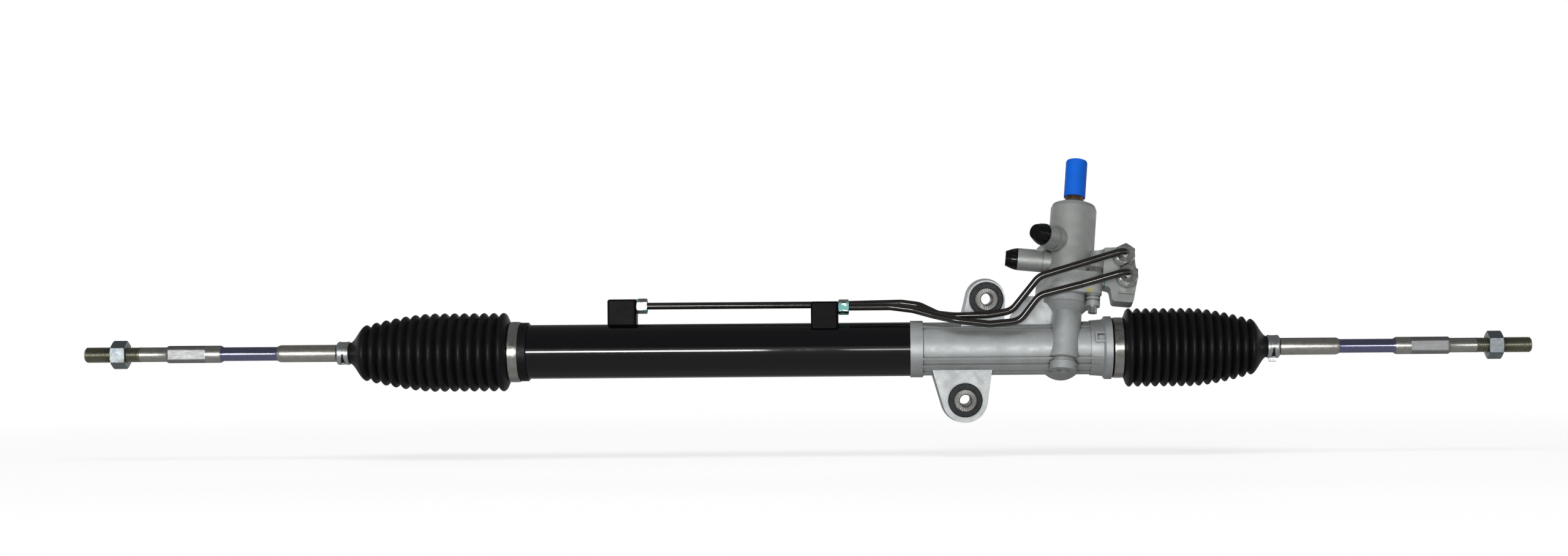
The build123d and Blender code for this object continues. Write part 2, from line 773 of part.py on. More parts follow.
with BuildPart() as far_port_block:
    port_block(
        FAR_BLOCK_X,
        FAR_BLOCK_Y,
        FAR_BLOCK_WIDTH,
        TUBE_R + FAR_BLOCK_RISE,
        far_line_frame,
        far_port_height,
    )
write(far_port_block.part, "far_port_block")


flange_top = JOINT + VALVE_FLANGE_THICKNESS


def wing():
    """The casting's arm to the right, which carries the two line ports."""
    outline = [
        (WING_ROOT_RIGHT, WING_ROOT_TOP),
        (UPPER_LINE_RIGHT, UPPER_LINE_STATION + LINE_PORT_R),
        (UPPER_LINE_RIGHT + LINE_PORT_R, UPPER_LINE_STATION),
        (LOWER_LINE_RIGHT + LINE_PORT_R, LOWER_LINE_STATION),
        (WING_FOOT_RIGHT, WING_FOOT_STATION),
        (WING_FOOT_LEFT, WING_FOOT_STATION),
        (WING_FOOT_LEFT - WING_FILLET, WING_ROOT_BOTTOM - WING_FILLET),
        (WING_ROOT_RIGHT, WING_ROOT_BOTTOM),
    ]
    # Local X runs to the right and local Y along the pinion axis
    wing_frame = Plane(origin=pinion_centre + front * WING_BACK, x_dir=right, z_dir=front)
    with BuildSketch(wing_frame) as side:
        with BuildLine():
            Polyline(*outline, close=True)
        make_face()
        fillet(side.vertices(), WING_FILLET)
    extrude(side.sketch, amount=WING_FRONT - WING_BACK)
    face_frame = Plane(origin=pinion_centre + front * WING_FRONT, x_dir=right, z_dir=front)
    with BuildSketch(face_frame) as foot_rib:
        with Locations(((WING_RIB_LEFT + WING_FOOT_RIGHT) / 2, WING_RIB_STATION)):
            Rectangle(WING_FOOT_RIGHT - WING_RIB_LEFT, WING_RIB_WIDTH)
    extrude(foot_rib.sketch, amount=WING_RIB_RISE)
    for frame in (upper_line_frame, lower_line_frame):
        ring(frame, WING_BACK - LINE_PORT_FRONT, 0, 0, LINE_PORT_R)
    # The way by which the front bolt goes in past the arm
    with BuildSketch(tooth_frame.offset(flange_top)) as bolt_way:
        with Locations((EAR_RIGHT, -EAR_FRONT)):
            Circle(BOLT_FLANGE_R + SPOT_FACE_GAP)
    extrude(bolt_way.sketch, amount=TOWER_TOP - flange_top, mode=Mode.SUBTRACT)


def hose_port(frame, reach):
    """A hose port's boss with the collar at its foot."""
    ring(frame, 0, reach, 0, PORT_BOSS_R)
    ring(frame, 0, TOWER_R + PORT_COLLAR_WIDTH, 0, PORT_COLLAR_R)


def port_web():
    """The web that fills the corner between the two hose ports."""
    web_frame = Plane(origin=pinion_centre + front * PORT_WEB_BACK, x_dir=right, z_dir=front)
    with BuildSketch(web_frame) as web:
        with BuildLine():
            Polyline(*[(-left, station) for left, station in PORT_WEB], close=True)
        make_face()
    extrude(web.sketch, amount=PORT_WEB_FRONT - PORT_WEB_BACK)


with BuildPart() as valve_housing:
    wing()
    turn(
        pinion_frame,
        [
            (JOINT, 0),
            (TOWER_TOP, 0),
            (TOWER_TOP, TOWER_R - TOWER_SHOULDER),
            (TOWER_TOP - TOWER_SHOULDER * EDGE_SHARE, TOWER_R - TOWER_SHOULDER * EDGE_SHARE),
            (TOWER_TOP - TOWER_SHOULDER, TOWER_R),
            (flange_top + TOWER_FOOT_HEIGHT, TOWER_R),
            (flange_top, TOWER_FOOT_R),
            (JOINT, TOWER_FOOT_R),
        ],
    )
    with BuildSketch(tooth_frame.offset(JOINT)) as valve_flange:
        flange_outline()
    extrude(valve_flange.sketch, amount=VALVE_FLANGE_THICKNESS)
    hose_port(lower_port_frame, LOWER_PORT_REACH)
    hose_port(upper_port_frame, UPPER_PORT_REACH)
    port_web()
    turn(
        pinion_frame,
        [
            (JOINT, 0),
            (TOWER_TOP, 0),
            (TOWER_TOP, SHAFT_SEAL_R),
            (TOWER_TOP - SHAFT_SEAL_WIDTH - SHAFT_SEAL_BACK, SHAFT_SEAL_R),
            (TOWER_TOP - SHAFT_SEAL_WIDTH - SHAFT_SEAL_BACK, SHAFT_BEARING_R),
            (VALVE_BORE_TOP, SHAFT_BEARING_R),
            (VALVE_BORE_TOP, valve_bore_r),
            (JOINT, valve_bore_r),
        ],
        Mode.SUBTRACT,
    )
    for port, reach in (
        (lower_port_frame, LOWER_PORT_REACH),
        (upper_port_frame, UPPER_PORT_REACH),
    ):
        bore(port, reach - PORT_BORE_DEPTH, reach, PORT_BORE_R)
        bore(port, 0, reach, PORT_DRILL_R)
    for port, to_right in (
        (upper_line_frame, UPPER_LINE_RIGHT),
        (lower_line_frame, LOWER_LINE_RIGHT),
    ):
        bore(port, -WING_BORE_DEPTH, 0, LINE_BORE_R)
        cross_frame = Plane(
            origin=port.origin - front * WING_BORE_DEPTH, x_dir=-right, z_dir=along
        )
        bore(cross_frame, 0, to_right - valve_bore_r / 2, PORT_PASSAGE_R)
    with BuildSketch(tooth_frame.offset(JOINT)) as bolt_holes:
        with Locations((EAR_RIGHT, -EAR_FRONT), (-EAR_RIGHT, EAR_FRONT)):
            Circle(BOLT_R + BOLT_CLEARANCE)
    extrude(bolt_holes.sketch, amount=VALVE_FLANGE_THICKNESS, mode=Mode.SUBTRACT)
    with BuildSketch(tooth_frame.offset(flange_top)) as spot_faces:
        with Locations((EAR_RIGHT, -EAR_FRONT), (-EAR_RIGHT, EAR_FRONT)):
            Circle(BOLT_FLANGE_R + SPOT_FACE_GAP)
    extrude(spot_faces.sketch, amount=BOLT_HEAD_HEIGHT + SPOT_FACE_GAP, mode=Mode.SUBTRACT)
write(valve_housing.part, "valve_housing")


def flange_bolt(bolt_frame):
    """A flanged hexagon bolt with its shank in the ear's column."""
    head_start = flange_top + BOLT_FLANGE_HEIGHT
    with BuildPart() as bolt:
        hexagon(bolt_frame, head_start, flange_top + BOLT_HEAD_HEIGHT, BOLT_ACROSS, BOLT_CHAMFER)
        ring(bolt_frame, flange_top, head_start, 0, BOLT_FLANGE_R)
        ring(bolt_frame, BOLT_TIP, head_start, 0, BOLT_R)
    return bolt.part


with BuildPart() as valve_housing_bolts:
    for side in (1, -1):
        add(flange_bolt(ear_frame(side)))
write(valve_housing_bolts.part, "valve_housing_bolts")

# What turns or seals round the pinion axis, fixed in the castings
with BuildPart() as pinion_end_plug:
    ring(pinion_frame, PLUG_END, PLUG_END + PLUG_THICKNESS, 0, LOWER_BEARING_R)
    ring(pinion_frame, PLUG_END, PLUG_END + PLUG_RECESS, 0, STUB_R, Mode.SUBTRACT)
write(pinion_end_plug.part, "pinion_end_plug")

with BuildPart() as pinion_lower_bearing:
    lower_bearing_start = PLUG_END + PLUG_THICKNESS + BEARING_END_GAP
    ring(pinion_frame, lower_bearing_start, LOWER_BOSS_TOP, STUB_R + RUNNING_GAP, LOWER_BEARING_R)
write(pinion_lower_bearing.part, "pinion_lower_bearing")

upper_bearing_end = UPPER_BEARING_START + UPPER_BEARING_WIDTH
with BuildPart() as pinion_upper_bearing:
    shaft_gap_r = PINION_SHAFT_R + RUNNING_GAP
    turn(
        pinion_frame,
        [
            (UPPER_BEARING_START, shaft_gap_r),
            (upper_bearing_end, shaft_gap_r),
            (upper_bearing_end, shaft_gap_r + RACE_THICKNESS),
            (upper_bearing_end - SHIELD_DEPTH, shaft_gap_r + RACE_THICKNESS),
            (upper_bearing_end - SHIELD_DEPTH, UPPER_BEARING_R - RACE_THICKNESS),
            (upper_bearing_end, UPPER_BEARING_R - RACE_THICKNESS),
            (upper_bearing_end, UPPER_BEARING_R),
            (UPPER_BEARING_START, UPPER_BEARING_R),
            (UPPER_BEARING_START, UPPER_BEARING_R - RACE_THICKNESS),
            (UPPER_BEARING_START + SHIELD_DEPTH, UPPER_BEARING_R - RACE_THICKNESS),
            (UPPER_BEARING_START + SHIELD_DEPTH, shaft_gap_r + RACE_THICKNESS),
            (UPPER_BEARING_START, shaft_gap_r + RACE_THICKNESS),
        ],
    )
write(pinion_upper_bearing.part, "pinion_upper_bearing")

with BuildPart() as housing_joint_seal:
    ring(pinion_frame, upper_bearing_end, JOINT, UPPER_BEARING_R - SEAL_LAND, UPPER_BEARING_R)
write(housing_joint_seal.part, "housing_joint_seal")

shaft_bearing_end = VALVE_BORE_TOP + SHAFT_BEARING_WIDTH
with BuildPart() as input_shaft_bearing:
    ring(pinion_frame, VALVE_BORE_TOP, shaft_bearing_end, SHAFT_R + RUNNING_GAP, SHAFT_BEARING_R)
write(input_shaft_bearing.part, "input_shaft_bearing")

with BuildPart() as input_shaft_seal:
    seal_start = TOWER_TOP - SHAFT_SEAL_WIDTH
    turn(
        pinion_frame,
        [
            (seal_start, SHAFT_R + RUNNING_GAP),
            (TOWER_TOP - SEAL_LIP_DROP, SHAFT_R + RUNNING_GAP),
            (TOWER_TOP + SEAL_LIP_RISE, SHAFT_R + RUNNING_GAP),
            (TOWER_TOP + SEAL_LIP_RISE, SHAFT_R + SEAL_LIP_WALL),
            (TOWER_TOP - SEAL_LIP_DROP, SHAFT_R + SEAL_LIP_WALL + SEAL_LIP_FLARE),
            (TOWER_TOP - SEAL_LIP_DROP, SHAFT_SEAL_R),
            (seal_start, SHAFT_SEAL_R),
        ],
    )
write(input_shaft_seal.part, "input_shaft_seal")

# Rack support yoke, pressed against the rack's back by its spring and adjuster
liner_r = RACK_R + RUNNING_GAP + LINER_THICKNESS
spring_end = YOKE_END + YOKE_SPRING_GAP
with BuildPart() as yoke:
    ring(yoke_frame, YOKE_START, YOKE_END, 0, YOKE_R)
    ring(rack_frame, PINION_X - 2 * YOKE_R, PINION_X + 2 * YOKE_R, 0, liner_r, Mode.SUBTRACT)
    bore(yoke_frame, YOKE_END - YOKE_RECESS, YOKE_END, YOKE_RECESS_R)
write(yoke.part, "yoke")

with BuildPart() as yoke_liner:
    half_liner = LINER_LENGTH / 2
    ring(rack_frame, PINION_X - half_liner, PINION_X + half_liner, RACK_R + RUNNING_GAP, liner_r)
    ring(yoke_frame, YOKE_START, YOKE_END, 0, YOKE_R, Mode.INTERSECT)
write(yoke_liner.part, "yoke_liner")

with BuildPart() as yoke_spring:
    turn(
        yoke_frame,
        [
            (YOKE_END, YOKE_R - SPRING_RIM),
            (YOKE_END + SPRING_THICKNESS, YOKE_R - SPRING_RIM),
            (spring_end, SPRING_HOLE_R),
            (spring_end - SPRING_THICKNESS, SPRING_HOLE_R),
        ],
    )
write(yoke_spring.part, "yoke_spring")

with BuildPart() as yoke_adjuster:
    ring(yoke_frame, spring_end, ADJUSTER_END, 0, YOKE_R + YOKE_BORE_GAP)
    hex_start = ADJUSTER_END - ADJUSTER_SOCKET_DEPTH
    with BuildSketch(square_to(yoke_frame, hex_start)) as key:
        RegularPolygon(ADJUSTER_SOCKET_R, 6, major_radius=False)
    extrude(key.sketch, amount=ADJUSTER_SOCKET_DEPTH, mode=Mode.SUBTRACT)
write(yoke_adjuster.part, "yoke_adjuster")

with BuildPart() as yoke_lock_nut:
    lock_nut_end = YOKE_BOSS_END + LOCK_NUT_WIDTH
    hexagon(yoke_frame, YOKE_BOSS_END, lock_nut_end, LOCK_NUT_ACROSS, LOCK_NUT_CHAMFER)
    bore(yoke_frame, YOKE_BOSS_END, lock_nut_end, YOKE_R + YOKE_BORE_GAP)
write(yoke_lock_nut.part, "yoke_lock_nut")

# Seals and bush that carry the rack in the tube
rack_gap_r = RACK_R + RUNNING_GAP


def rack_seal(start, width):
    """A seal with an open V lip towards the oil."""
    middle = (rack_gap_r + tube_inner_r) / 2
    turn(
        rack_frame,
        [
            (start, rack_gap_r),
            (start + width, rack_gap_r),
            (start + width, middle - SEAL_GROOVE),
            (start + width / 2, middle),
            (start + width, middle + SEAL_GROOVE),
            (start + width, tube_inner_r),
            (start, tube_inner_r),
        ],
    )


with BuildPart() as inner_rack_seal:
    rack_seal(INNER_SEAL_X + INNER_SEAL_WIDTH / 2, -INNER_SEAL_WIDTH)
write(inner_rack_seal.part, "inner_rack_seal")

with BuildPart() as outer_rack_seal:
    rack_seal(outer_seal_start, OUTER_SEAL_WIDTH)
write(outer_rack_seal.part, "outer_rack_seal")

with BuildPart() as cylinder_end_bush:
    ring(rack_frame, bush_start, outer_seal_start, rack_gap_r, tube_inner_r)
write(cylinder_end_bush.part, "cylinder_end_bush")

with BuildPart() as end_snap_ring:
    snap_outer_r = tube_inner_r + SNAP_GROOVE_DEPTH
    ring(rack_frame, snap_start, bush_start, tube_inner_r - SNAP_RING_DEPTH, snap_outer_r)
    with BuildSketch(square_to(rack_frame, snap_start)) as gap:
        with Locations((0, tube_inner_r)):
            Rectangle(2 * tube_inner_r, SNAP_GAP)
    extrude(gap.sketch, amount=SNAP_RING_WIDTH, mode=Mode.SUBTRACT)
write(end_snap_ring.part, "end_snap_ring")

# Bushes: a rubber with a lip at each face, and a steel sleeve bonded in it
for name, bush_frame in (("lower", lower_bush_frame), ("upper", upper_bush_frame)):
    half_lug = LUG_DEPTH / 2
    with BuildPart() as bush_rubber:
        turn(
            bush_frame,
            [
                (-half_lug - RUBBER_LIP, SLEEVE_R),
                (half_lug + RUBBER_LIP, SLEEVE_R),
                (half_lug + RUBBER_LIP, RUBBER_LIP_R - RUBBER_LIP_EDGE),
                (half_lug + RUBBER_LIP - RUBBER_LIP_EDGE, RUBBER_LIP_R),
                (half_lug, RUBBER_LIP_R),
                (half_lug, RUBBER_R),
                (-half_lug, RUBBER_R),
                (-half_lug, RUBBER_LIP_R),
                (-half_lug - RUBBER_LIP + RUBBER_LIP_EDGE, RUBBER_LIP_R),
                (-half_lug - RUBBER_LIP, RUBBER_LIP_R - RUBBER_LIP_EDGE),
            ],
        )
    write(bush_rubber.part, f"{name}_bush_rubber")
    with BuildPart() as bush_sleeve:
        half_sleeve = SLEEVE_LENGTH / 2
        turn(
            bush_frame,
            [
                (-half_sleeve, BUSH_BORE_R),
                (half_sleeve, BUSH_BORE_R),
                (half_sleeve, SLEEVE_R - SLEEVE_CHAMFER),
                (half_sleeve - SLEEVE_CHAMFER, SLEEVE_R),
                (-half_sleeve + SLEEVE_CHAMFER, SLEEVE_R),
                (-half_sleeve, SLEEVE_R - SLEEVE_CHAMFER),
            ],
        )
    write(bush_sleeve.part, f"{name}_bush_sleeve")


def involute(radius):
    """The involute function of the pressure angle at a radius on the pinion."""
    angle = acos(base_r / radius)
    return tan(angle) - angle


def half_tooth_angle(radius):
    """Half the angle that a pinion tooth covers at a radius."""
    at_pitch = pi / (2 * TEETH) + 2 * PROFILE_SHIFT * tan(radians(PRESSURE_ANGLE)) / TEETH
    return at_pitch + involute(pitch_r) - involute(radius)


def pinion_tooth():
    """One involute tooth pointing along +X, its root sunk into the root circle."""
    flank_height = pinion_tip_r - base_r
    radii = [base_r + flank_height * i / FLANK_STEPS for i in range(FLANK_STEPS + 1)]
    upper = [(r * cos(half_tooth_angle(r)), r * sin(half_tooth_angle(r))) for r in radii]
    lower = [(x, -y) for x, y in upper]
    sunk = pinion_root_r - ROOT_OVERLAP
    root_angle = half_tooth_angle(base_r)
    root = (sunk * cos(root_angle), sunk * sin(root_angle))
    with BuildSketch() as tooth:
        with BuildLine():
            Line((root[0], -root[1]), lower[0])
            Spline(*lower)
            ThreePointArc(lower[-1], (pinion_tip_r, 0), upper[-1])
            Spline(*reversed(upper))
            Line(upper[0], root)
            Line(root, (root[0], -root[1]))
        make_face()
    return tooth.sketch


with BuildPart() as pinion_gear:
    one_tooth = pinion_tooth()
    with BuildSketch(tooth_frame.offset(TEETH_START)) as gear:
        Circle(pinion_root_r)
        with PolarLocations(0, TEETH, start_angle=90):
            add(one_tooth)
    extrude(gear.sketch, amount=TEETH_END - TEETH_START)
    turn(
        pinion_frame,
        [
            (PLUG_END + PLUG_THICKNESS + PINION_END_GAP, 0),
            (PINION_TOP, 0),
            (PINION_TOP, SPIGOT_R),
            (upper_bearing_end, SPIGOT_R),
            (upper_bearing_end, PINION_SHAFT_R),
            (TEETH_END + TEETH_RUNOUT, PINION_SHAFT_R),
            (TEETH_END, pinion_root_r),
            (TEETH_START, pinion_root_r),
            (TEETH_START, STUB_R),
            (PLUG_END + PLUG_THICKNESS + PINION_END_GAP, STUB_R),
        ],
    )
    bore(pinion_frame, TORSION_BOTTOM + TORSION_HEAD_LENGTH, PINION_TOP, TORSION_BORE_R)
    bore(pinion_frame, TORSION_BOTTOM, PINION_TOP, TORSION_HEAD_R)
    with BuildSketch(square_to(pinion_frame, DOG_START - DOG_END_GAP)) as slot:
        Rectangle(2 * (DOG_HALF + DOG_END_GAP), DOG_WIDTH + DOG_SLACK)
    extrude(slot.sketch, amount=PINION_TOP - DOG_START + DOG_END_GAP, mode=Mode.SUBTRACT)
write(pinion_gear.part, "pinion_gear")

# Rotary valve: sleeve pressed over the pinion's top, with rings that seal in the bore
ring_pitch = (SLEEVE_TOP - SLEEVE_START) / (VALVE_RINGS + 1)
ring_starts = [SLEEVE_START + ring_pitch * (i + 1) for i in range(VALVE_RINGS)]
with BuildPart() as valve_sleeve:
    turn(
        pinion_frame,
        [
            (SLEEVE_START, SPIGOT_R),
            (PINION_TOP, SPIGOT_R),
            (PINION_TOP, SPOOL_R + SPOOL_GAP),
            (SLEEVE_TOP, SPOOL_R + SPOOL_GAP),
            (SLEEVE_TOP, SLEEVE_OUTER_R),
            (SLEEVE_START, SLEEVE_OUTER_R),
        ],
    )
    for start in ring_starts:
        ring(
            pinion_frame,
            start,
            start + RING_GROOVE_WIDTH,
            SLEEVE_OUTER_R - RING_GROOVE_DEPTH,
            SLEEVE_OUTER_R,
            Mode.SUBTRACT,
        )
write(valve_sleeve.part, "valve_sleeve")

with BuildPart() as valve_rings:
    for start in ring_starts:
        ring(
            pinion_frame,
            start,
            start + RING_GROOVE_WIDTH,
            SLEEVE_OUTER_R - RING_GROOVE_DEPTH,
            valve_bore_r - RUNNING_GAP,
        )
write(valve_rings.part, "valve_rings")

head_top = PIN_STATION + TORSION_HEAD_LENGTH / 2
with BuildPart() as torsion_bar:
    cone = TORSION_HEAD_R - TORSION_R
    turn(
        pinion_frame,
        [
            (TORSION_BOTTOM, 0),
            (head_top, 0),
            (head_top, TORSION_HEAD_R),
            (head_top - TORSION_HEAD_LENGTH, TORSION_HEAD_R),
            (head_top - TORSION_HEAD_LENGTH - cone, TORSION_R),
            (TORSION_BOTTOM + TORSION_HEAD_LENGTH + cone, TORSION_R),
            (TORSION_BOTTOM + TORSION_HEAD_LENGTH, TORSION_HEAD_R),
            (TORSION_BOTTOM, TORSION_HEAD_R),
        ],
    )
    with BuildSketch(Plane(origin=tower_point(PIN_STATION), x_dir=along, z_dir=right)) as pin_hole:
        Circle(PIN_R + PIN_GAP)
    extrude(pin_hole.sketch, amount=TORSION_HEAD_R, both=True, mode=Mode.SUBTRACT)
write(torsion_bar.part, "torsion_bar")

with BuildPart() as torsion_pin:
    with BuildSketch(Plane(origin=tower_point(PIN_STATION), x_dir=along, z_dir=right)) as pin_face:
        Circle(PIN_R)
    extrude(pin_face.sketch, amount=PILOT_R - PIN_GAP, both=True)
write(torsion_pin.part, "torsion_pin")

with BuildPart() as input_shaft:
    turn(
        pinion_frame,
        [
            (PINION_TOP + SPOOL_CLEARANCE, 0),
            (SHAFT_TOP, 0),
            (SHAFT_TOP, PILOT_R - SHAFT_CHAMFER),
            (SHAFT_TOP - SHAFT_CHAMFER, PILOT_R),
            (SPLINE_END, PILOT_R),
            (SPLINE_END - SHAFT_CHAMFER, SHAFT_R),
            (SLEEVE_TOP + SHAFT_STEP, SHAFT_R),
            (SLEEVE_TOP - SHAFT_STEP, SPOOL_R),
            (PINION_TOP + SPOOL_CLEARANCE, SPOOL_R),
        ],
    )
    with BuildSketch(square_to(pinion_frame, DOG_START)) as dog:
        Circle(DOG_HALF)
        Rectangle(2 * DOG_HALF, DOG_WIDTH, mode=Mode.INTERSECT)
    extrude(dog.sketch, amount=PINION_TOP + SPOOL_CLEARANCE - DOG_START)
    with BuildSketch(square_to(pinion_frame, SPLINE_START)) as serrations:
        with PolarLocations(SHAFT_R, SPLINES):
            RegularPolygon(SPLINE_DEPTH, 3, rotation=180)
    extrude(serrations.sketch, amount=SPLINE_END - SPLINE_START, mode=Mode.SUBTRACT)
    bore(pinion_frame, DOG_START, head_top - TORSION_HEAD_LENGTH, TORSION_BORE_R)
    bore(pinion_frame, DOG_START, head_top, TORSION_HEAD_R)
    with BuildSketch(Plane(origin=tower_point(PIN_STATION), x_dir=along, z_dir=right)) as cross_hole:
        Circle(PIN_R)
    extrude(cross_hole.sketch, amount=PILOT_R, both=True, mode=Mode.SUBTRACT)
write(input_shaft.part, "input_shaft")

with BuildPart() as spline_cap:
    cap_inner_r = SHAFT_R + CAP_GAP
    turn(
        pinion_frame,
        [
            (CAP_START, cap_inner_r),
            (CAP_TOP - CAP_WALL_TOP, cap_inner_r),
            (CAP_TOP - CAP_WALL_TOP, 0),
            (CAP_TOP, 0),
            (CAP_TOP, CAP_R - CAP_EDGE),
            (CAP_TOP - CAP_EDGE * EDGE_SHARE, CAP_R - CAP_EDGE * EDGE_SHARE),
            (CAP_TOP - CAP_EDGE, CAP_R),
            (CAP_START, CAP_R),
        ],
    )
write(spline_cap.part, "spline_cap")

# Fluted transit plugs in the two hose ports
for name, port, reach in (
    ("lower_port_plug", lower_port_frame, LOWER_PORT_REACH),
    ("upper_port_plug", upper_port_frame, UPPER_PORT_REACH),
):
    plug_end = reach + PORT_PLUG_HEAD
    with BuildPart() as port_plug:
        turn(
            port,
            [
                (reach - PORT_PLUG_SHANK, 0),
                (plug_end, 0),
                (plug_end, PORT_PLUG_TIP_R),
                (plug_end - PORT_PLUG_HEAD / 2, PORT_PLUG_HEAD_R - PORT_PLUG_TAPER),
                (reach + PORT_PLUG_RIM, PORT_PLUG_HEAD_R),
                (reach, PORT_PLUG_HEAD_R),
                (reach, PORT_BORE_R - PLUG_GAP),
                (reach - PORT_PLUG_SHANK, PORT_BORE_R - PLUG_GAP),
            ],
        )
        with BuildSketch(square_to(port, reach + PORT_PLUG_RIM)) as flutes:
            with PolarLocations(PORT_PLUG_HEAD_R, PORT_PLUG_FLUTES):
                Circle(FLUTE_R)
        extrude(flutes.sketch, amount=PORT_PLUG_HEAD, mode=Mode.SUBTRACT)
    write(port_plug.part, name)

# Rack bar: round, threaded for a socket at each end, with teeth parallel to the pinion's axis
with BuildPart() as rack_bar:
    ring(rack_frame, rack_left_end, rack_right_end, 0, RACK_R)
    bore(rack_frame, rack_left_end, rack_left_end + SOCKET_STUB_LENGTH, SOCKET_STUB_R)
    bore(rack_frame, rack_right_end - SOCKET_STUB_LENGTH, rack_right_end, SOCKET_STUB_R)
    slope = tan(radians(PRESSURE_ANGLE))
    half_space = tooth_pitch / 4 + BACKLASH / 2
    at_tips = half_space + (rack_reference - rack_tips) * slope
    at_roots = half_space - (rack_roots - rack_reference) * slope
    zigzag = []
    for k in range(-SPACES_LEFT, SPACES_RIGHT + 1):
        middle = k * tooth_pitch
        zigzag.append((middle - at_tips, rack_tips))
        zigzag.append((middle - at_roots, rack_roots))
        zigzag.append((middle + at_roots, rack_roots))
        zigzag.append((middle + at_tips, rack_tips))
    clear_of_bar = rack_tips - RACK_R
    with BuildSketch(tooth_frame.offset(-2 * RACK_R)) as spaces:
        with BuildLine():
            Polyline(
                *zigzag,
                (zigzag[-1][0], clear_of_bar),
                (zigzag[0][0], clear_of_bar),
                close=True,
            )
        make_face()
    extrude(spaces.sketch, amount=4 * RACK_R, mode=Mode.SUBTRACT)
    piston_start = PISTON_X - PISTON_WIDTH / 2
    piston_end = piston_start + PISTON_WIDTH
    piston_seat_r = RACK_R - PISTON_SEAT_DEPTH
    ring(rack_frame, piston_start, piston_end, piston_seat_r, RACK_R, Mode.SUBTRACT)
write(rack_bar.part, "rack_bar")

with BuildPart() as rack_piston:
    piston_r = tube_inner_r - PISTON_GAP
    ring_seat = PISTON_X - PISTON_RING_WIDTH / 2
    turn(
        rack_frame,
        [
            (piston_start, piston_seat_r),
            (piston_end, piston_seat_r),
            (piston_end, piston_r),
            (ring_seat + PISTON_RING_WIDTH, piston_r),
            (ring_seat + PISTON_RING_WIDTH, piston_r - PISTON_RING_DEPTH),
            (ring_seat, piston_r - PISTON_RING_DEPTH),
            (ring_seat, piston_r),
            (piston_start, piston_r),
        ],
    )
write(rack_piston.part, "rack_piston")

with BuildPart() as piston_ring:
    ring(
        rack_frame,
        ring_seat,
        ring_seat + PISTON_RING_WIDTH,
        piston_r - PISTON_RING_DEPTH,
        tube_inner_r - RUNNING_GAP,
    )
write(piston_ring.part, "piston_ring")

# Everything beyond each end of the rack, in a frame whose local X runs outward from the ball
rod_frames = {
    "left": Plane(origin=(left_ball_x, 0, RACK_HEIGHT), x_dir=(-1, 0, 0), z_dir=(0, 1, 0)),
    "right": Plane(origin=(right_ball_x, 0, RACK_HEIGHT), x_dir=(1, 0, 0), z_dir=(0, -1, 0)),
}
band_frames = {
    "left": Plane(origin=(LEFT_BAND_X, 0, RACK_HEIGHT), x_dir=(-1, 0, 0), z_dir=(0, 1, 0)),
    "right": Plane(origin=(RIGHT_BAND_X, 0, RACK_HEIGHT), x_dir=(1, 0, 0), z_dir=(0, -1, 0)),
}
nut_setbacks = {"left": NUT_SETBACK_LEFT, "right": NUT_SETBACK_RIGHT}
boot_lips = {"left": LEFT_BOOT_LIP, "right": RIGHT_BOOT_LIP}
crest_spans = {
    "left": (LEFT_FIRST_CREST, LEFT_LAST_CREST),
    "right": (RIGHT_FIRST_CREST, RIGHT_LAST_CREST),
}
seat_inner_r = BALL_R + BALL_GAP
seat_outer_r = seat_inner_r + SEAT_THICKNESS
cavity_r = seat_outer_r + BALL_GAP
mouth_x = cavity_r * cos(radians(SOCKET_OPENING))
mouth_r = cavity_r * sin(radians(SOCKET_OPENING))


def crest_r(index):
    """Outer radius of a boot's crest, tapering towards the small end past the full ones."""
    taper = max(0, index - BOOT_TAPER_FROM) / (BOOT_CRESTS - 1 - BOOT_TAPER_FROM)
    return BOOT_R - (BOOT_R - BOOT_LAST_R) * taper**BOOT_TAPER_POWER


def bellows(band_to_clip, first_crest, last_crest, lip, inset):
    """Half outline of a boot: the outer skin at inset 0, the inner one a wall's thickness in."""
    pitch = (last_crest - first_crest) / (BOOT_CRESTS - 1)
    points = [
        (-BAND_WIDTH / 2 - lip, boot_collar_r - inset),
        (BAND_WIDTH / 2 + COLLAR_MARGIN, boot_collar_r - inset),
    ]
    for index in range(BOOT_CRESTS):
        crest_x = first_crest + index * pitch
        points.append((crest_x - CREST_FLAT / 2, crest_r(index) - inset))
        points.append((crest_x + CREST_FLAT / 2, crest_r(index) - inset))
        if index < BOOT_CRESTS - 1:
            valley_r = crest_r(index + 0.5) - BOOT_DEPTH - inset
            points.append((crest_x + (pitch - VALLEY_FLAT) / 2, valley_r))
            points.append((crest_x + (pitch + VALLEY_FLAT) / 2, valley_r))
    points.append((band_to_clip - SMALL_COLLAR_WIDTH / 2, SMALL_COLLAR_R - inset))
    points.append((band_to_clip + SMALL_COLLAR_WIDTH / 2, SMALL_COLLAR_R - inset))
    return points


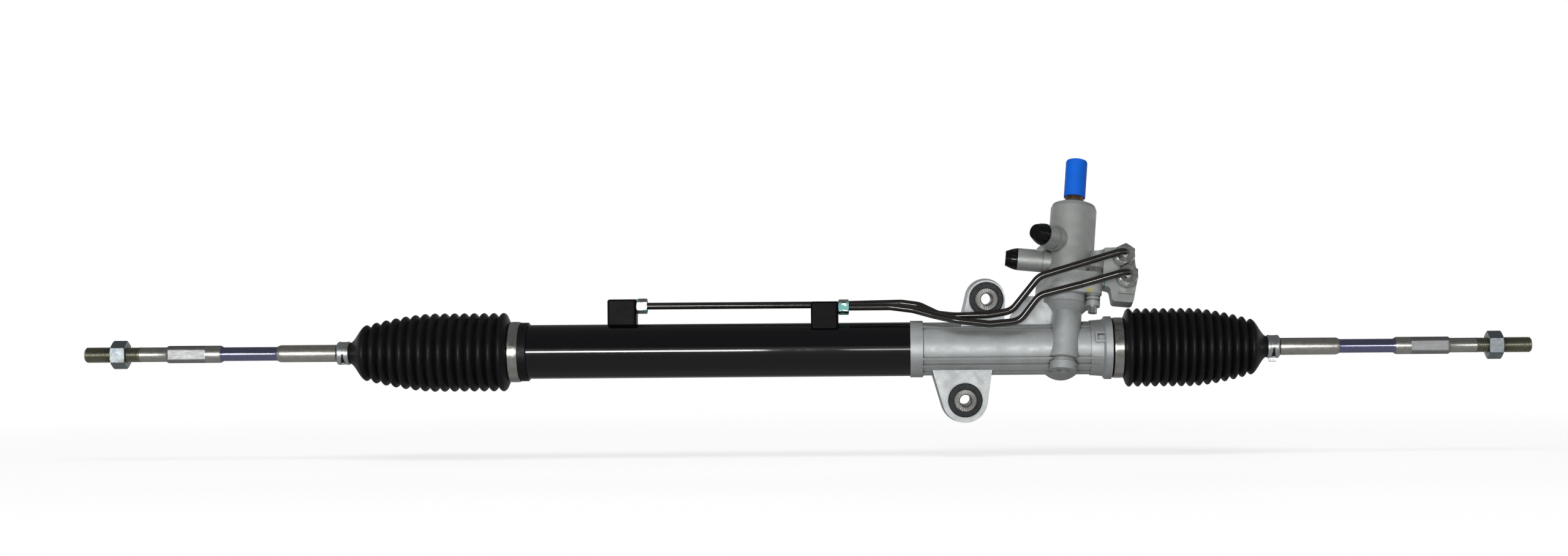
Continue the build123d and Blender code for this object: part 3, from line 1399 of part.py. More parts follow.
for side in ("left", "right"):
    rod_frame = rod_frames[side]
    band_frame = band_frames[side]
    with BuildPart() as socket:
        turn(
            rod_frame,
            [
                (-SOCKET_BACK - WASHER_THICKNESS - SOCKET_STUB_LENGTH, 0),
                (SOCKET_FRONT, 0),
                (SOCKET_FRONT, SOCKET_R - SOCKET_CHAMFER),
                (SOCKET_FRONT - SOCKET_NOSE, SOCKET_R),
                (-SOCKET_BACK + SOCKET_CHAMFER, SOCKET_R),
                (-SOCKET_BACK, SOCKET_R - SOCKET_CHAMFER),
                (-SOCKET_BACK, SOCKET_STUB_R),
                (-SOCKET_BACK - WASHER_THICKNESS - SOCKET_STUB_LENGTH, SOCKET_STUB_R),
            ],
        )
        with Locations(rod_frame.origin):
            Sphere(cavity_r, mode=Mode.SUBTRACT)
        turn(
            rod_frame,
            [
                (0, 0),
                (SOCKET_FRONT, 0),
                (SOCKET_FRONT, SOCKET_FLARE_R),
                (mouth_x, mouth_r),
                (0, mouth_r),
            ],
            Mode.SUBTRACT,
        )
        flats(rod_frame, -SOCKET_BACK, -SOCKET_BACK + SOCKET_FLAT_LENGTH, SOCKET_FLAT, SOCKET_R)
    write(socket.part, f"{side}_socket")

    with BuildPart() as lock_washer:
        ring(rod_frame, -SOCKET_BACK - WASHER_THICKNESS, -SOCKET_BACK, SOCKET_STUB_R, WASHER_R)
    write(lock_washer.part, f"{side}_lock_washer")

    with BuildPart() as ball_seat:
        with BuildSketch(rod_frame) as shell:
            with BuildLine():
                shell_arc = 180 - SEAT_OPENING
                inner_arc = CenterArc((0, 0), seat_inner_r, SEAT_OPENING, shell_arc)
                outer_arc = CenterArc((0, 0), seat_outer_r, SEAT_OPENING, shell_arc)
                Line(inner_arc @ 0, outer_arc @ 0)
                Line(inner_arc @ 1, outer_arc @ 1)
            make_face()
        revolve(shell.sketch, axis=Axis(rod_frame.origin, rod_frame.x_dir))
    write(ball_seat.part, f"{side}_ball_seat")

    with BuildPart() as tie_rod:
        nut_end = ROD_TIP - nut_setbacks[side]
        # The thread's crests are rubbed a little lower where the jam nut has run
        nut_run_r = THREAD_R - NUT_RUN_STEP
        with Locations(rod_frame.origin):
            Sphere(BALL_R)
        turn(
            rod_frame,
            [
                (0, 0),
                (ROD_TIP, 0),
                (ROD_TIP, THREAD_R - TIP_CHAMFER),
                (ROD_TIP - TIP_CHAMFER, THREAD_R),
                (nut_end + NUT_FACE_GAP, THREAD_R),
                (nut_end + NUT_FACE_GAP, nut_run_r),
                (SMOOTH_END, nut_run_r),
                (SMOOTH_END - THREAD_STEP, SMOOTH_R),
                (FLATS_END + FLATS_SLOPE, SMOOTH_R),
                (FLATS_END, FLATS_R),
                (THIN_END + STEP_LENGTH, FLATS_R),
                (THIN_END, THIN_R),
                (SHANK_END + STEP_LENGTH, THIN_R),
                (SHANK_END, SHANK_R),
                (CLIP_SEAT_END, SHANK_R),
                (CLIP_SEAT_END, CLIP_SEAT_R),
                (CLIP_SEAT_START, CLIP_SEAT_R),
                (CLIP_SEAT_START, SHANK_R),
                (SHANK_START, SHANK_R),
                (NECK_END_AT, ROD_NECK_R),
                (0, ROD_NECK_R),
            ],
        )
        flats(rod_frame, FLATS_START, FLATS_END, FLATS_ACROSS, FLATS_R)
    write(tie_rod.part, f"{side}_tie_rod")

    with BuildPart() as jam_nut:
        hexagon(rod_frame, nut_end - NUT_HEIGHT, nut_end, NUT_ACROSS, NUT_CHAMFER)
        bore(rod_frame, nut_end - NUT_HEIGHT, nut_end, THREAD_R)
    write(jam_nut.part, f"{side}_jam_nut")

    with BuildPart() as boot:
        clip_x = (CLIP_SEAT_START + CLIP_SEAT_END) / 2
        band_to_clip = (rod_frame.origin - band_frame.origin).length + clip_x
        first_crest, last_crest = crest_spans[side]
        outer = bellows(band_to_clip, first_crest, last_crest, boot_lips[side], 0)
        inner = bellows(band_to_clip, first_crest, last_crest, boot_lips[side], BOOT_WALL)
        turn(band_frame, outer + inner[::-1])
        collar_start = -BAND_WIDTH / 2 - boot_lips[side]
        bore(band_frame, collar_start, BAND_WIDTH / 2 + COLLAR_MARGIN, boot_seat_r)
        ring(
            band_frame,
            band_to_clip - SMALL_COLLAR_WIDTH / 2,
            band_to_clip + SMALL_COLLAR_WIDTH / 2,
            CLIP_SEAT_R + BOOT_SEAT_GAP,
            SMALL_COLLAR_R,
        )
    write(boot.part, f"{side}_boot")

    with BuildPart() as boot_band:
        ring(band_frame, -BAND_WIDTH / 2, BAND_WIDTH / 2, boot_collar_r, band_r)
    write(boot_band.part, f"{side}_boot_band")

    with BuildPart() as boot_clip:
        clip_inner_r = SMALL_COLLAR_R + CLIP_GAP
        ring(rod_frame, clip_x - CLIP_WIDTH / 2, clip_x + CLIP_WIDTH / 2, clip_inner_r, CLIP_R)
        with BuildSketch(square_to(rod_frame, clip_x - CLIP_WIDTH / 2)) as ear:
            with Locations((-CLIP_R - CLIP_EAR / 2 + CLIP_EAR_ROOT, 0)):
                Rectangle(CLIP_EAR, CLIP_EAR)
        extrude(ear.sketch, amount=CLIP_WIDTH)
        bore(rod_frame, clip_x - CLIP_WIDTH / 2, clip_x + CLIP_WIDTH / 2, clip_inner_r)
    write(boot_clip.part, f"{side}_boot_clip")


def bend_radii(route):
    """The largest bend at each corner that the runs leave room for, up to the bending tool's."""
    runs = [after - before for before, after in zip(route, route[1:])]
    share = [run.length * PIPE_BEND_SHARE for run in runs]
    share[0] = (runs[0].length - PIPE_ENTRY - LARGE_NUT_LENGTH) * PIPE_FIRST_SHARE
    radii = []
    for index in range(len(runs) - 1):
        half_turn = radians(runs[index].get_angle(runs[index + 1])) / 2
        room = min(share[index], share[index + 1]) / tan(half_turn)
        radii.append(min(PIPE_BEND_LIMIT, room))
    return radii


def pipe(route):
    """A hydraulic pipe: straight runs joined by tangent bends."""
    with BuildLine() as centre_line:
        FilletPolyline(*route, radius=bend_radii(route))
    start = Plane(origin=route[0], z_dir=route[1] - route[0])
    with BuildSketch(start) as section:
        Circle(PIPE_R)
        Circle(PIPE_BORE_R, mode=Mode.SUBTRACT)
    sweep(section.sketch, path=centre_line.wires()[0])


def above_rack(x, y, height):
    """A route point by its height above the rack axis."""
    return Vector(x, y, RACK_HEIGHT + height)


# Routes are read off the object: from each line port forward, left past the valve housing,
# steeply down in front of the upper bush, and along the top of the tube to a port block
upper_start = upper_line_frame.origin - front * PIPE_ENTRY
lower_start = lower_line_frame.origin - front * PIPE_ENTRY
long_route = [
    upper_start,
    upper_line_frame.origin + front * PIPE_EXIT,
    above_rack(66.0, -27.0, 64.6),
    above_rack(41.5, -21.8, 34.0),
    above_rack(21.0, -21.2, 30.6),
    above_rack(-9.0, -18.4, 29.8),
    above_rack(-24.0, -4.0, 31.4),
    above_rack(-40.0, 5.0, 39.2),
    above_rack(-56.0, FAR_BLOCK_Y, far_port_height + PIPE_CROSSING),
    above_rack(-120.0, FAR_BLOCK_Y, far_port_height),
    far_line_frame.origin - Vector(PIPE_ENTRY, 0, 0),
]
short_route = [
    lower_start,
    lower_line_frame.origin + front * PIPE_EXIT,
    above_rack(104.0, -35.0, 57.6),
    above_rack(66.0, -30.0, 48.0),
    above_rack(48.5, -25.0, 25.0),
    above_rack(22.0, -24.5, 22.4),
    above_rack(-8.0, -24.2, 26.0),
    above_rack(-28.0, -15.0, 30.6),
    above_rack(-46.0, -9.0, 35.6),
    above_rack(-66.0, NEAR_BLOCK_Y, near_port_height),
    near_line_frame.origin - Vector(PIPE_ENTRY, 0, 0),
]
with BuildPart() as long_cylinder_line:
    pipe(long_route)
write(long_cylinder_line.part, "long_cylinder_line")
with BuildPart() as short_cylinder_line:
    pipe(short_route)
write(short_cylinder_line.part, "short_cylinder_line")


def flare_nut(frame, across, length):
    """A flare nut: hexagon outside the port, threaded shank inside it, drilled for the pipe."""
    hexagon(frame, 0, length, across, NUT_CHAMFER)
    ring(frame, -NUT_THREAD_LENGTH, 0, 0, LINE_BORE_R)
    bore(frame, -NUT_THREAD_LENGTH, length, PIPE_R)


for name, frame, across, length in (
    ("upper_wing_nut", upper_line_frame, LARGE_NUT_ACROSS, LARGE_NUT_LENGTH),
    ("lower_wing_nut", lower_line_frame, LARGE_NUT_ACROSS, LARGE_NUT_LENGTH),
    ("near_block_nut", near_line_frame, SMALL_NUT_ACROSS, SMALL_NUT_LENGTH),
    ("far_block_nut", far_line_frame, SMALL_NUT_ACROSS, SMALL_NUT_LENGTH),
):
    with BuildPart() as nut:
        flare_nut(frame, across, length)
    write(nut.part, name)
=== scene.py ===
"""The looks of the hydraulic steering rack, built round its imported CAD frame."""
import json
import math

import bmesh
import bpy
from mathutils import Matrix, Vector


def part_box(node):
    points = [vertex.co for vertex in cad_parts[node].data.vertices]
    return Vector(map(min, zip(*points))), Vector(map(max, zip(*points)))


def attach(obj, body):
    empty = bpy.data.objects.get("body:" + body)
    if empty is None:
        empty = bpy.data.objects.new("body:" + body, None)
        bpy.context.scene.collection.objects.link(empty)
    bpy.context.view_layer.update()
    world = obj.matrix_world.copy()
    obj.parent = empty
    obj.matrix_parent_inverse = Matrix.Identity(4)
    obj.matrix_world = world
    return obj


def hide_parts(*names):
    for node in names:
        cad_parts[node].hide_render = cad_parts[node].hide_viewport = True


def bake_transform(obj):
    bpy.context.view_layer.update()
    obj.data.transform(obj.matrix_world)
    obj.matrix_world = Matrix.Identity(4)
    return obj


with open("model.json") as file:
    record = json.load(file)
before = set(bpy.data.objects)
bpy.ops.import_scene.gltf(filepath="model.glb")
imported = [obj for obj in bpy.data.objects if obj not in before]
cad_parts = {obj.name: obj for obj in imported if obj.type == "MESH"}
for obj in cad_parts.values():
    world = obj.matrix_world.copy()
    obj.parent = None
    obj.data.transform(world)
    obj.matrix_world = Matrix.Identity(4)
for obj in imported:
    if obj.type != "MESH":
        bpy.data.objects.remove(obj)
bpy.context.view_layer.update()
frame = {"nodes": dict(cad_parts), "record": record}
nodes = frame["nodes"]

# Places that the construction settles, in metres: the rack's height, and the ball joints on it.
# Outward is the direction in X from the middle to each side's end
RACK_Z = 0.0455
MIDDLE_X = -0.14
BALL_OFFSET = 0.372
BALL_X = {"left": MIDDLE_X - BALL_OFFSET, "right": MIDDLE_X + BALL_OFFSET}
OUTWARD = {"left": -1, "right": 1}

# Camera, from the photograph's frame of 2560 by 908 pixels: the column its axis meets, and where
# it stands
FRAME_WIDTH_PX = 2560
AXIS_PX = 1430
METRES_PER_PX = 0.00055
CAMERA_DISTANCE = 2.05
CAMERA_X = -0.0789
CAMERA_ABOVE_RACK = 0.0641
CAMERA_ROLL = math.radians(0.4246)
SENSOR = 36.0
NEAREST_SEEN = 0.05
FURTHEST_SEEN = 40.0

# The room: white at the horizon, a darker ceiling above it (heights are sines of the elevation)
HORIZON_BAND = 0.10
CEILING_START = 0.30
CEILING_LEVEL = 0.16
FILL_LEVEL = 0.25

# The floor: clear of the rods at full tilt, lit near the object and plain white further off.
# Squeeze is how much nearer the white comes along Y than along X
FLOOR_HALF = 30.0
FLOOR_LEVEL = -0.052
FLOOR_TONE = 0.32
FLOOR_ROUGHNESS = 0.9
FLOOR_SPECULAR = 0.1
FLOOR_GLOW = 0.72
FLOOR_GLOSS_SHARE = 0.12
FLOOR_NEAR = 0.7
FLOOR_FAR = 1.5
FLOOR_SQUEEZE = 2.0

# Lamps: name, place, target, size, power in watts, and whether reflections show it
LAMPS = (
    ("key_left", (-0.905, -2.3, 0.095), (-0.5, 0, RACK_Z), (1.23, 0.23), 27, True),
    ("key_right", (0.52, -2.3, 0.095), (0.2, 0, RACK_Z), (1.32, 0.23), 8, True),
    ("overhead", (-0.2, -1.0, 1.9), (MIDDLE_X, 0, RACK_Z), (2.4, 0.7), 27, False),
    ("rear", (0.1, 2.3, 0.9), (MIDDLE_X, 0, RACK_Z), (2.0, 0.4), 15, False),
)

# Boots: stations run outward from the band's middle. Lip is how far the boot reaches inward past
# the band, first and last are the stations of the end crests, and blend lists world X, whose
# middle two stations are where the boot is cut into its three stretches
BOOT_SEGMENTS = 96
BOOT_CRESTS = 15
BOOT_R = 0.0352
BOOT_LAST_R = 0.0250
BOOT_TAPER_FROM = 7
BOOT_TAPER_POWER = 1.6
BOOT_DEPTH = 0.0042
BOOT_ROUND = 0.55
BOOT_COLLAR_R = 0.0263
BOOT_WALL = 0.0016
LIP_ROUND = 0.0006
BAND_BITE = 0.0002
CONE_STEPS = 8
CONE_STRAIGHT = 0.35
BAND_HALF = 0.0048
SMALL_COLLAR_R = 0.0094
SMALL_COLLAR_HALF = 0.006
SMALL_COLLAR_EDGE = 0.0004
RING_STEPS = 10
BOOTS = {
    "left": {
        "lip": 0.0075,
        "first": 0.0105,
        "last": 0.134,
        "blend": (-0.3935, -0.5185, -0.5345, -0.5505),
    },
    "right": {
        "lip": 0.0008,
        "first": 0.0100,
        "last": 0.120,
        "blend": (0.1280, 0.2385, 0.2545, 0.2705),
    },
}

# Boot fastenings: the wide band's roll and ear, and the small clip with its two beads, which
# stands at a station outward from the ball's centre
BAND_WALL = 0.0008
BAND_ROLL = 0.0005
BAND_ROLL_POWER = 6
EAR_SETBACK = 0.0008
CLIP_STATION = 0.0445
CLIP_HALF = 0.0055
CLIP_R = 0.0102
CLIP_WALL = 0.0007
CLIP_BEAD = 0.0004
CLIP_ROLL_POWER = 8
BEAD_PLACE = 0.72
BEAD_SPREAD = 0.16
STRIP_SEGMENTS = 72
STRIP_STEPS = 12

# The clip's window, a wedge that widens downwards: degrees below the horizontal, and half widths.
# The mesh's middle columns narrow to it, and ease back to their own width beyond its ends
WINDOW_TOP = 5
WINDOW_BOTTOM = 60
WINDOW_EASE = 20
WINDOW_HALF_TOP = 0.0003
WINDOW_HALF_BOTTOM = 0.0019
WINDOW_COLUMN = 2 * CLIP_HALF / STRIP_STEPS

# The clip's tang: at the back on the left, and underneath on the right
TANG_WIDTH = 0.006
TANG_SIDE = {"left": Vector((0, 1, 0)), "right": Vector((0, 0, -1))}

# Tie rods: stations run outward from the ball's centre, and the body is (station, radius) points
BALL_R = 0.0125
BALL_STEPS = 16
ROD_SEGMENTS = 64
ROD_NECK_R = 0.0065
THREAD_PITCH = 0.0015
THREAD_DEPTH = 0.0008
THREAD_STEPS = 8
THREAD_FLANK = 1.15
THREAD_R = 0.0070
NUT_RUN_R = 0.00675
NUT_END = {"left": 0.2517, "right": 0.2499}
NUT_FACE_GAP = 0.0005
ROD_TIP = 0.2765
TIP_CHAMFER = 0.0015
THREAD_START = 0.2272
FLATS_HALF = 0.0063
FLATS_EDGE = 0.0002
FLATS = (0.168, 0.2018)
ROD_BODY = (
    (0.0170, 0.0065),
    (0.0210, 0.0077),
    (0.0380, 0.0077),
    (0.0380, 0.0070),
    (0.0510, 0.0070),
    (0.0510, 0.0075),
    (0.0513, 0.0077),
    (0.1010, 0.0077),
    (0.1022, 0.0075),
    (0.1046, 0.0063),
    (0.1052, 0.0062),
    (0.1522, 0.0062),
    (0.1530, 0.0064),
    (0.1550, 0.0076),
    (0.1558, 0.0078),
    (0.1676, 0.0078),
    (0.1680, 0.0078),
    (0.1684, 0.0078),
    (0.2014, 0.0078),
    (0.2018, 0.0078),
    (0.2022, 0.0077),
    (0.2036, 0.0067),
    (0.2040, 0.0066),
    (0.2262, 0.0066),
    (0.2268, 0.0067),
)

# Bush sleeves, with the grip teeth pressed into their end faces
SLEEVE_R = 0.0102
SLEEVE_BORE_R = 0.0051
SLEEVE_TEETH = 30
SLEEVE_TOOTH = 0.0002
SLEEVE_SEGMENTS = 240
SLEEVE_EDGE = 0.0007
SLEEVE_RIM = 1.5 * SLEEVE_EDGE

# A clip's solid tang and a clamp's hollow ear, as (across, outward) points from their roots
TANG = (
    (-0.0016, -0.0006),
    (-0.0016, 0.0026),
    (-0.0010, 0.0033),
    (0.0012, 0.0033),
    (0.0018, 0.0026),
    (0.0018, 0.0012),
    (0.0011, 0.0009),
    (0.0011, -0.0006),
)
EAR = (
    (-0.0016, -0.0006),
    (-0.0016, 0.0030),
    (-0.0010, 0.0037),
    (0.0010, 0.0037),
    (0.0016, 0.0030),
    (0.0016, -0.0006),
    (0.0009, -0.0006),
    (0.0009, 0.0026),
    (0.0005, 0.0030),
    (-0.0005, 0.0030),
    (-0.0009, 0.0026),
    (-0.0009, -0.0006),
)

# Marks of paint on the front of the castings: range of X, range of Z, colour. Their edges are
# soft, and they fade out over a range of Y
PAINT_MARKS = (
    ((0.1234, 0.1247), (0.0895, 0.1085), (0.01, 0.20, 0.15)),
    ((0.1078, 0.1128), (0.0958, 0.0992), (0.52, 0.46, 0.14)),
)
PAINT_EDGE_X = 0.0003
PAINT_EDGE_Z = 0.0008
PAINT_FADE_Y = (-0.016, -0.010)

# Painted shade with some grime in the castings' inner corners, found by ambient occlusion: how far
# from an inner corner it reaches, over which range of openness, and how much of the metal it covers
SHADE_AND_GRIME_REACH = 0.0035
SHADE_AND_GRIME_OPENNESS = (0.35, 0.85)
SHADE_AND_GRIME_COVER = 0.85
SHADE_AND_GRIME_COLOUR = (0.07, 0.07, 0.065)

# The castings' three tones each, dull to bright: the valve housing is a little darker and warmer
GEAR_CASTING = ((0.36, 0.378, 0.375), (0.43, 0.45, 0.452), (0.49, 0.51, 0.51))
VALVE_CASTING = ((0.295, 0.31, 0.295), (0.365, 0.382, 0.368), (0.43, 0.448, 0.435))
CASTING_SPECKLE = (0.27, 0.28, 0.275)
CASTING_STAIN = (0.25, 0.25, 0.235)

# Paints and platings
BLACK_PAINT = (0.0014, 0.0014, 0.0022)
PIPE_COAT = (0.006, 0.005, 0.004)
PIPE_COAT_DARK = (0.003, 0.0025, 0.002)
PIPE_COAT_BROWN = (0.012, 0.009, 0.006)
STRAW_CAST = (0.9, 0.84, 0.7)
ROD_WEAR = (0.24, 0.225, 0.19)

# Between these two values lies most of any noise
USUAL_NOISE = (0.3, 0.7)

# Finishes along a tie rod: where each starts in metres from the ball, its colour and roughness
ROD_FINISHES = (
    (0.0, (0.55, 0.54, 0.50), 0.3),
    (0.1034, (0.25, 0.26, 0.45), 0.13),
    (0.1540, (0.53, 0.53, 0.50), 0.3),
    (0.1680, (0.33, 0.34, 0.345), 0.5),
    (0.2025, (0.53, 0.53, 0.49), 0.28),
    (0.2265, (0.30, 0.30, 0.235), 0.34),
)

# How meshes are finished: edges kept sharp, and the small bevels of extruded pieces
SHARP_ANGLE = math.radians(38)
BEVEL_ANGLE = math.radians(50)
BEVEL = 0.0001
BEVEL_SEGMENTS = 2


def middle_of(node):
    """The middle of a CAD node's box at rest."""
    low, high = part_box(node)
    return (low + high) / 2


def place_on(origin, axis, up=(0, 0, 1)):
    """A frame whose X runs along an axis, with its Z towards up."""
    x = Vector(axis).normalized()
    y = Vector(up).cross(x).normalized()
    matrix = Matrix((x, y, x.cross(y))).transposed().to_4x4()
    matrix.translation = origin
    return matrix


def make_camera():
    """The camera at the photograph's angle, shifted as its crop is."""
    data = bpy.data.cameras.new("camera")
    camera = bpy.data.objects.new("camera", data)
    bpy.context.scene.collection.objects.link(camera)
    data.sensor_width = SENSOR
    data.lens = SENSOR * CAMERA_DISTANCE / (FRAME_WIDTH_PX * METRES_PER_PX)
    data.shift_x = (FRAME_WIDTH_PX / 2 - AXIS_PX) / FRAME_WIDTH_PX
    turn = Matrix.Rotation(math.radians(90), 4, "X") @ Matrix.Rotation(-CAMERA_ROLL, 4, "Z")
    place = Vector((CAMERA_X, -CAMERA_DISTANCE, RACK_Z + CAMERA_ABOVE_RACK))
    camera.matrix_world = Matrix.Translation(place) @ turn
    data.clip_start = NEAREST_SEEN
    data.clip_end = FURTHEST_SEEN
    bpy.context.scene.camera = camera


def make_lights():
    """Two frontal strips at about the camera's height, a softbox overhead and a weak rear lamp."""
    for name, place, target, size, power, shown in LAMPS:
        data = bpy.data.lights.new(name, "AREA")
        data.shape = "RECTANGLE"
        data.size, data.size_y = size
        data.energy = power
        lamp = bpy.data.objects.new(name, data)
        lamp.visible_glossy = shown
        lamp.location = place
        lamp.rotation_mode = "QUATERNION"
        lamp.rotation_quaternion = (Vector(target) - Vector(place)).to_track_quat("-Z", "Y")
        bpy.context.scene.collection.objects.link(lamp)


def tree_node(tree, kind, **inputs):
    """A new node in a tree, with its inputs set or linked."""
    made = tree.nodes.new("ShaderNode" + kind)
    for key, value in inputs.items():
        socket = made.inputs[key.replace("_", " ")]
        if isinstance(value, bpy.types.NodeSocket):
            tree.links.new(value, socket)
        else:
            socket.default_value = value
    return made


def tree_math(tree, operation, *values):
    """A maths node's result."""
    made = tree.nodes.new("ShaderNodeMath")
    made.operation = operation
    for socket, value in zip(made.inputs, values):
        if isinstance(value, bpy.types.NodeSocket):
            tree.links.new(value, socket)
        else:
            socket.default_value = value
    return made.outputs[0]


def tree_remap(tree, value, low, high, to_low, to_high):
    """A clamped linear remap of one number."""
    made = tree_node(
        tree,
        "MapRange",
        Value=value,
        From_Min=low,
        From_Max=high,
        To_Min=to_low,
        To_Max=to_high,
    )
    return made.outputs[0]


def seen_share(tree, gloss_share):
    """1 for camera and transmission rays, gloss_share for glossy rays and 0 for the others."""
    path = tree.nodes.new("ShaderNodeLightPath")
    glossy = tree_math(tree, "MULTIPLY", path.outputs["Is Glossy Ray"], gloss_share)
    through = path.outputs["Is Transmission Ray"]
    seen = tree_math(tree, "MAXIMUM", path.outputs["Is Camera Ray"], through)
    return tree_math(tree, "MAXIMUM", seen, glossy)


def make_world():
    """White to the camera, white at the horizon in reflections, and dim for diffuse light."""
    world = bpy.data.worlds.new("studio")
    bpy.context.scene.world = world
    world.use_nodes = True
    tree = world.node_tree
    tree.nodes.clear()
    direction = tree.nodes.new("ShaderNodeTexCoord").outputs["Generated"]
    height = tree_node(tree, "SeparateXYZ", Vector=direction).outputs["Z"]
    room = tree_remap(tree, height, HORIZON_BAND, CEILING_START, 1.0, CEILING_LEVEL)
    path = tree.nodes.new("ShaderNodeLightPath")
    level = tree_math(tree, "MAXIMUM", room, path.outputs["Is Camera Ray"])
    seen = tree_node(tree, "Background", Color=(1, 1, 1, 1), Strength=level)
    fill = tree_node(tree, "Background", Color=(1, 1, 1, 1), Strength=FILL_LEVEL)
    mix = tree.nodes.new("ShaderNodeMixShader")
    tree.links.new(seen_share(tree, 1.0), mix.inputs[0])
    tree.links.new(fill.outputs[0], mix.inputs[1])
    tree.links.new(seen.outputs[0], mix.inputs[2])
    out = tree.nodes.new("ShaderNodeOutputWorld")
    tree.links.new(mix.outputs[0], out.inputs[0])


def make_floor():
    """A pale floor under the object, which keeps the shadow and fades to plain white."""
    mesh = bpy.data.meshes.new("floor")
    corners = ((-1, -1), (1, -1), (1, 1), (-1, 1))
    points = [(x * FLOOR_HALF, y * FLOOR_HALF, FLOOR_LEVEL) for x, y in corners]
    mesh.from_pydata(points, [], [(0, 1, 2, 3)])
    floor = bpy.data.objects.new("floor", mesh)
    bpy.context.scene.collection.objects.link(floor)
    material = bpy.data.materials.new("floor_white")
    material.use_nodes = True
    tree = material.node_tree
    bsdf = tree.nodes["Principled BSDF"]
    bsdf.inputs["Base Color"].default_value = (FLOOR_TONE, FLOOR_TONE, FLOOR_TONE, 1)
    bsdf.inputs["Roughness"].default_value = FLOOR_ROUGHNESS
    bsdf.inputs["Specular IOR Level"].default_value = FLOOR_SPECULAR
    share = seen_share(tree, FLOOR_GLOSS_SHARE)
    glow = tree_node(tree, "Emission", Strength=tree_math(tree, "MULTIPLY", share, FLOOR_GLOW))
    lit = tree.nodes.new("ShaderNodeAddShader")
    tree.links.new(bsdf.outputs[0], lit.inputs[0])
    tree.links.new(glow.outputs[0], lit.inputs[1])
    place = tree.nodes.new("ShaderNodeTexCoord").outputs["Object"]
    mapping = tree_node(tree, "Mapping", Vector=place)
    mapping.inputs["Location"].default_value = (-MIDDLE_X, 0, 0)
    mapping.inputs["Scale"].default_value = (1, FLOOR_SQUEEZE, 0)
    reach = tree.nodes.new("ShaderNodeVectorMath")
    reach.operation = "LENGTH"
    tree.links.new(mapping.outputs[0], reach.inputs[0])
    away = tree_remap(tree, reach.outputs["Value"], FLOOR_NEAR, FLOOR_FAR, 0.0, 1.0)
    white = tree_node(tree, "Emission", Strength=1.0)
    mix = tree.nodes.new("ShaderNodeMixShader")
    tree.links.new(tree_math(tree, "MULTIPLY", away, share), mix.inputs[0])
    tree.links.new(lit.outputs[0], mix.inputs[1])
    tree.links.new(white.outputs[0], mix.inputs[2])
    tree.links.new(mix.outputs[0], tree.nodes["Material Output"].inputs[0])
    mesh.materials.append(material)


class Surface:
    """A procedural material, built up from a base shader by small node helpers."""

    def __init__(self, name, colour, metallic, roughness, specular=0.5):
        self.material = bpy.data.materials.new(name)
        self.material.use_nodes = True
        self.tree = self.material.node_tree
        self.bsdf = self.tree.nodes["Principled BSDF"]
        self.bsdf.inputs["Base Color"].default_value = (*colour, 1)
        self.bsdf.inputs["Metallic"].default_value = metallic
        self.bsdf.inputs["Roughness"].default_value = roughness
        self.bsdf.inputs["Specular IOR Level"].default_value = specular
        self.coordinates = self.tree.nodes.new("ShaderNodeTexCoord").outputs["Object"]
        self.split = tree_node(self.tree, "SeparateXYZ", Vector=self.coordinates)
        self.height = None

    def noise(self, scale, detail=3.0, roughness=0.55, stretch=None):
        """Noise in the object's space, of scale cells to the metre, scaled again by stretch."""
        vector = self.coordinates
        if stretch:
            mapping = tree_node(self.tree, "Mapping", Vector=vector)
            mapping.inputs["Scale"].default_value = stretch
            vector = mapping.outputs[0]
        made = tree_node(
            self.tree,
            "TexNoise",
            Vector=vector,
            Scale=scale,
            Detail=detail,
            Roughness=roughness,
        )
        return made.outputs["Fac"]

    def ramp(self, value, stops, stepped=False):
        """A colour ramp of (position, colour) stops."""
        made = tree_node(self.tree, "ValToRGB", Fac=value)
        if stepped:
            made.color_ramp.interpolation = "CONSTANT"
        elements = made.color_ramp.elements
        while len(elements) < len(stops):
            elements.new(1.0)
        for element, (position, colour) in zip(elements, stops):
            element.position = position
            element.color = (*colour, 1)
        return made.outputs["Color"]

    def maths(self, operation, *values):
        """A maths node's result."""
        return tree_math(self.tree, operation, *values)

    def remap(self, value, low, high, to_low, to_high):
        """A clamped linear remap of one number."""
        return tree_remap(self.tree, value, low, high, to_low, to_high)

    def vary(self, noise, low, high):
        """Spread the usual range of a noise over low to high."""
        return self.remap(noise, *USUAL_NOISE, low, high)

    def patches(self, noise, start, full, share):
        """Patches of a noise: 0 below start, rising to share at full."""
        return self.remap(noise, start, full, 0.0, share)

    def window(self, value, low, high, soft):
        """1 where a number lies between low and high, easing to 0 outside them."""
        rise = self.remap(value, low - soft, low, 0.0, 1.0)
        fall = self.remap(value, high, high + soft, 1.0, 0.0)
        return self.maths("MULTIPLY", rise, fall)

    def mix(self, factor, first, second):
        """A mix of two colours. The node's colour sockets share their names, so they go by number."""
        made = self.tree.nodes.new("ShaderNodeMix")
        made.data_type = "RGBA"
        for socket, value in ((0, factor), (6, first), (7, second)):
            target = made.inputs[socket]
            if isinstance(value, bpy.types.NodeSocket):
                self.tree.links.new(value, target)
            elif isinstance(value, tuple):
                target.default_value = (*value, 1)
            else:
                target.default_value = value
        return made.outputs[2]

    def link(self, socket, output):
        """Drive one of the shader's sockets."""
        self.tree.links.new(output, self.bsdf.inputs[socket])

    def bump(self, value, depth, strength=1.0):
        """Add a height map in metres on top of those already there."""
        made = tree_node(self.tree, "Bump", Height=value, Strength=strength, Distance=depth)
        if self.height is not None:
            self.tree.links.new(self.height, made.inputs["Normal"])
        self.height = made.outputs[0]
        self.link("Normal", self.height)


def shade(colour, factor):
    """A colour made lighter or darker."""
    return tuple(min(1.0, c * factor) for c in colour)


def grey(level):
    """A neutral colour."""
    return (level, level, level)


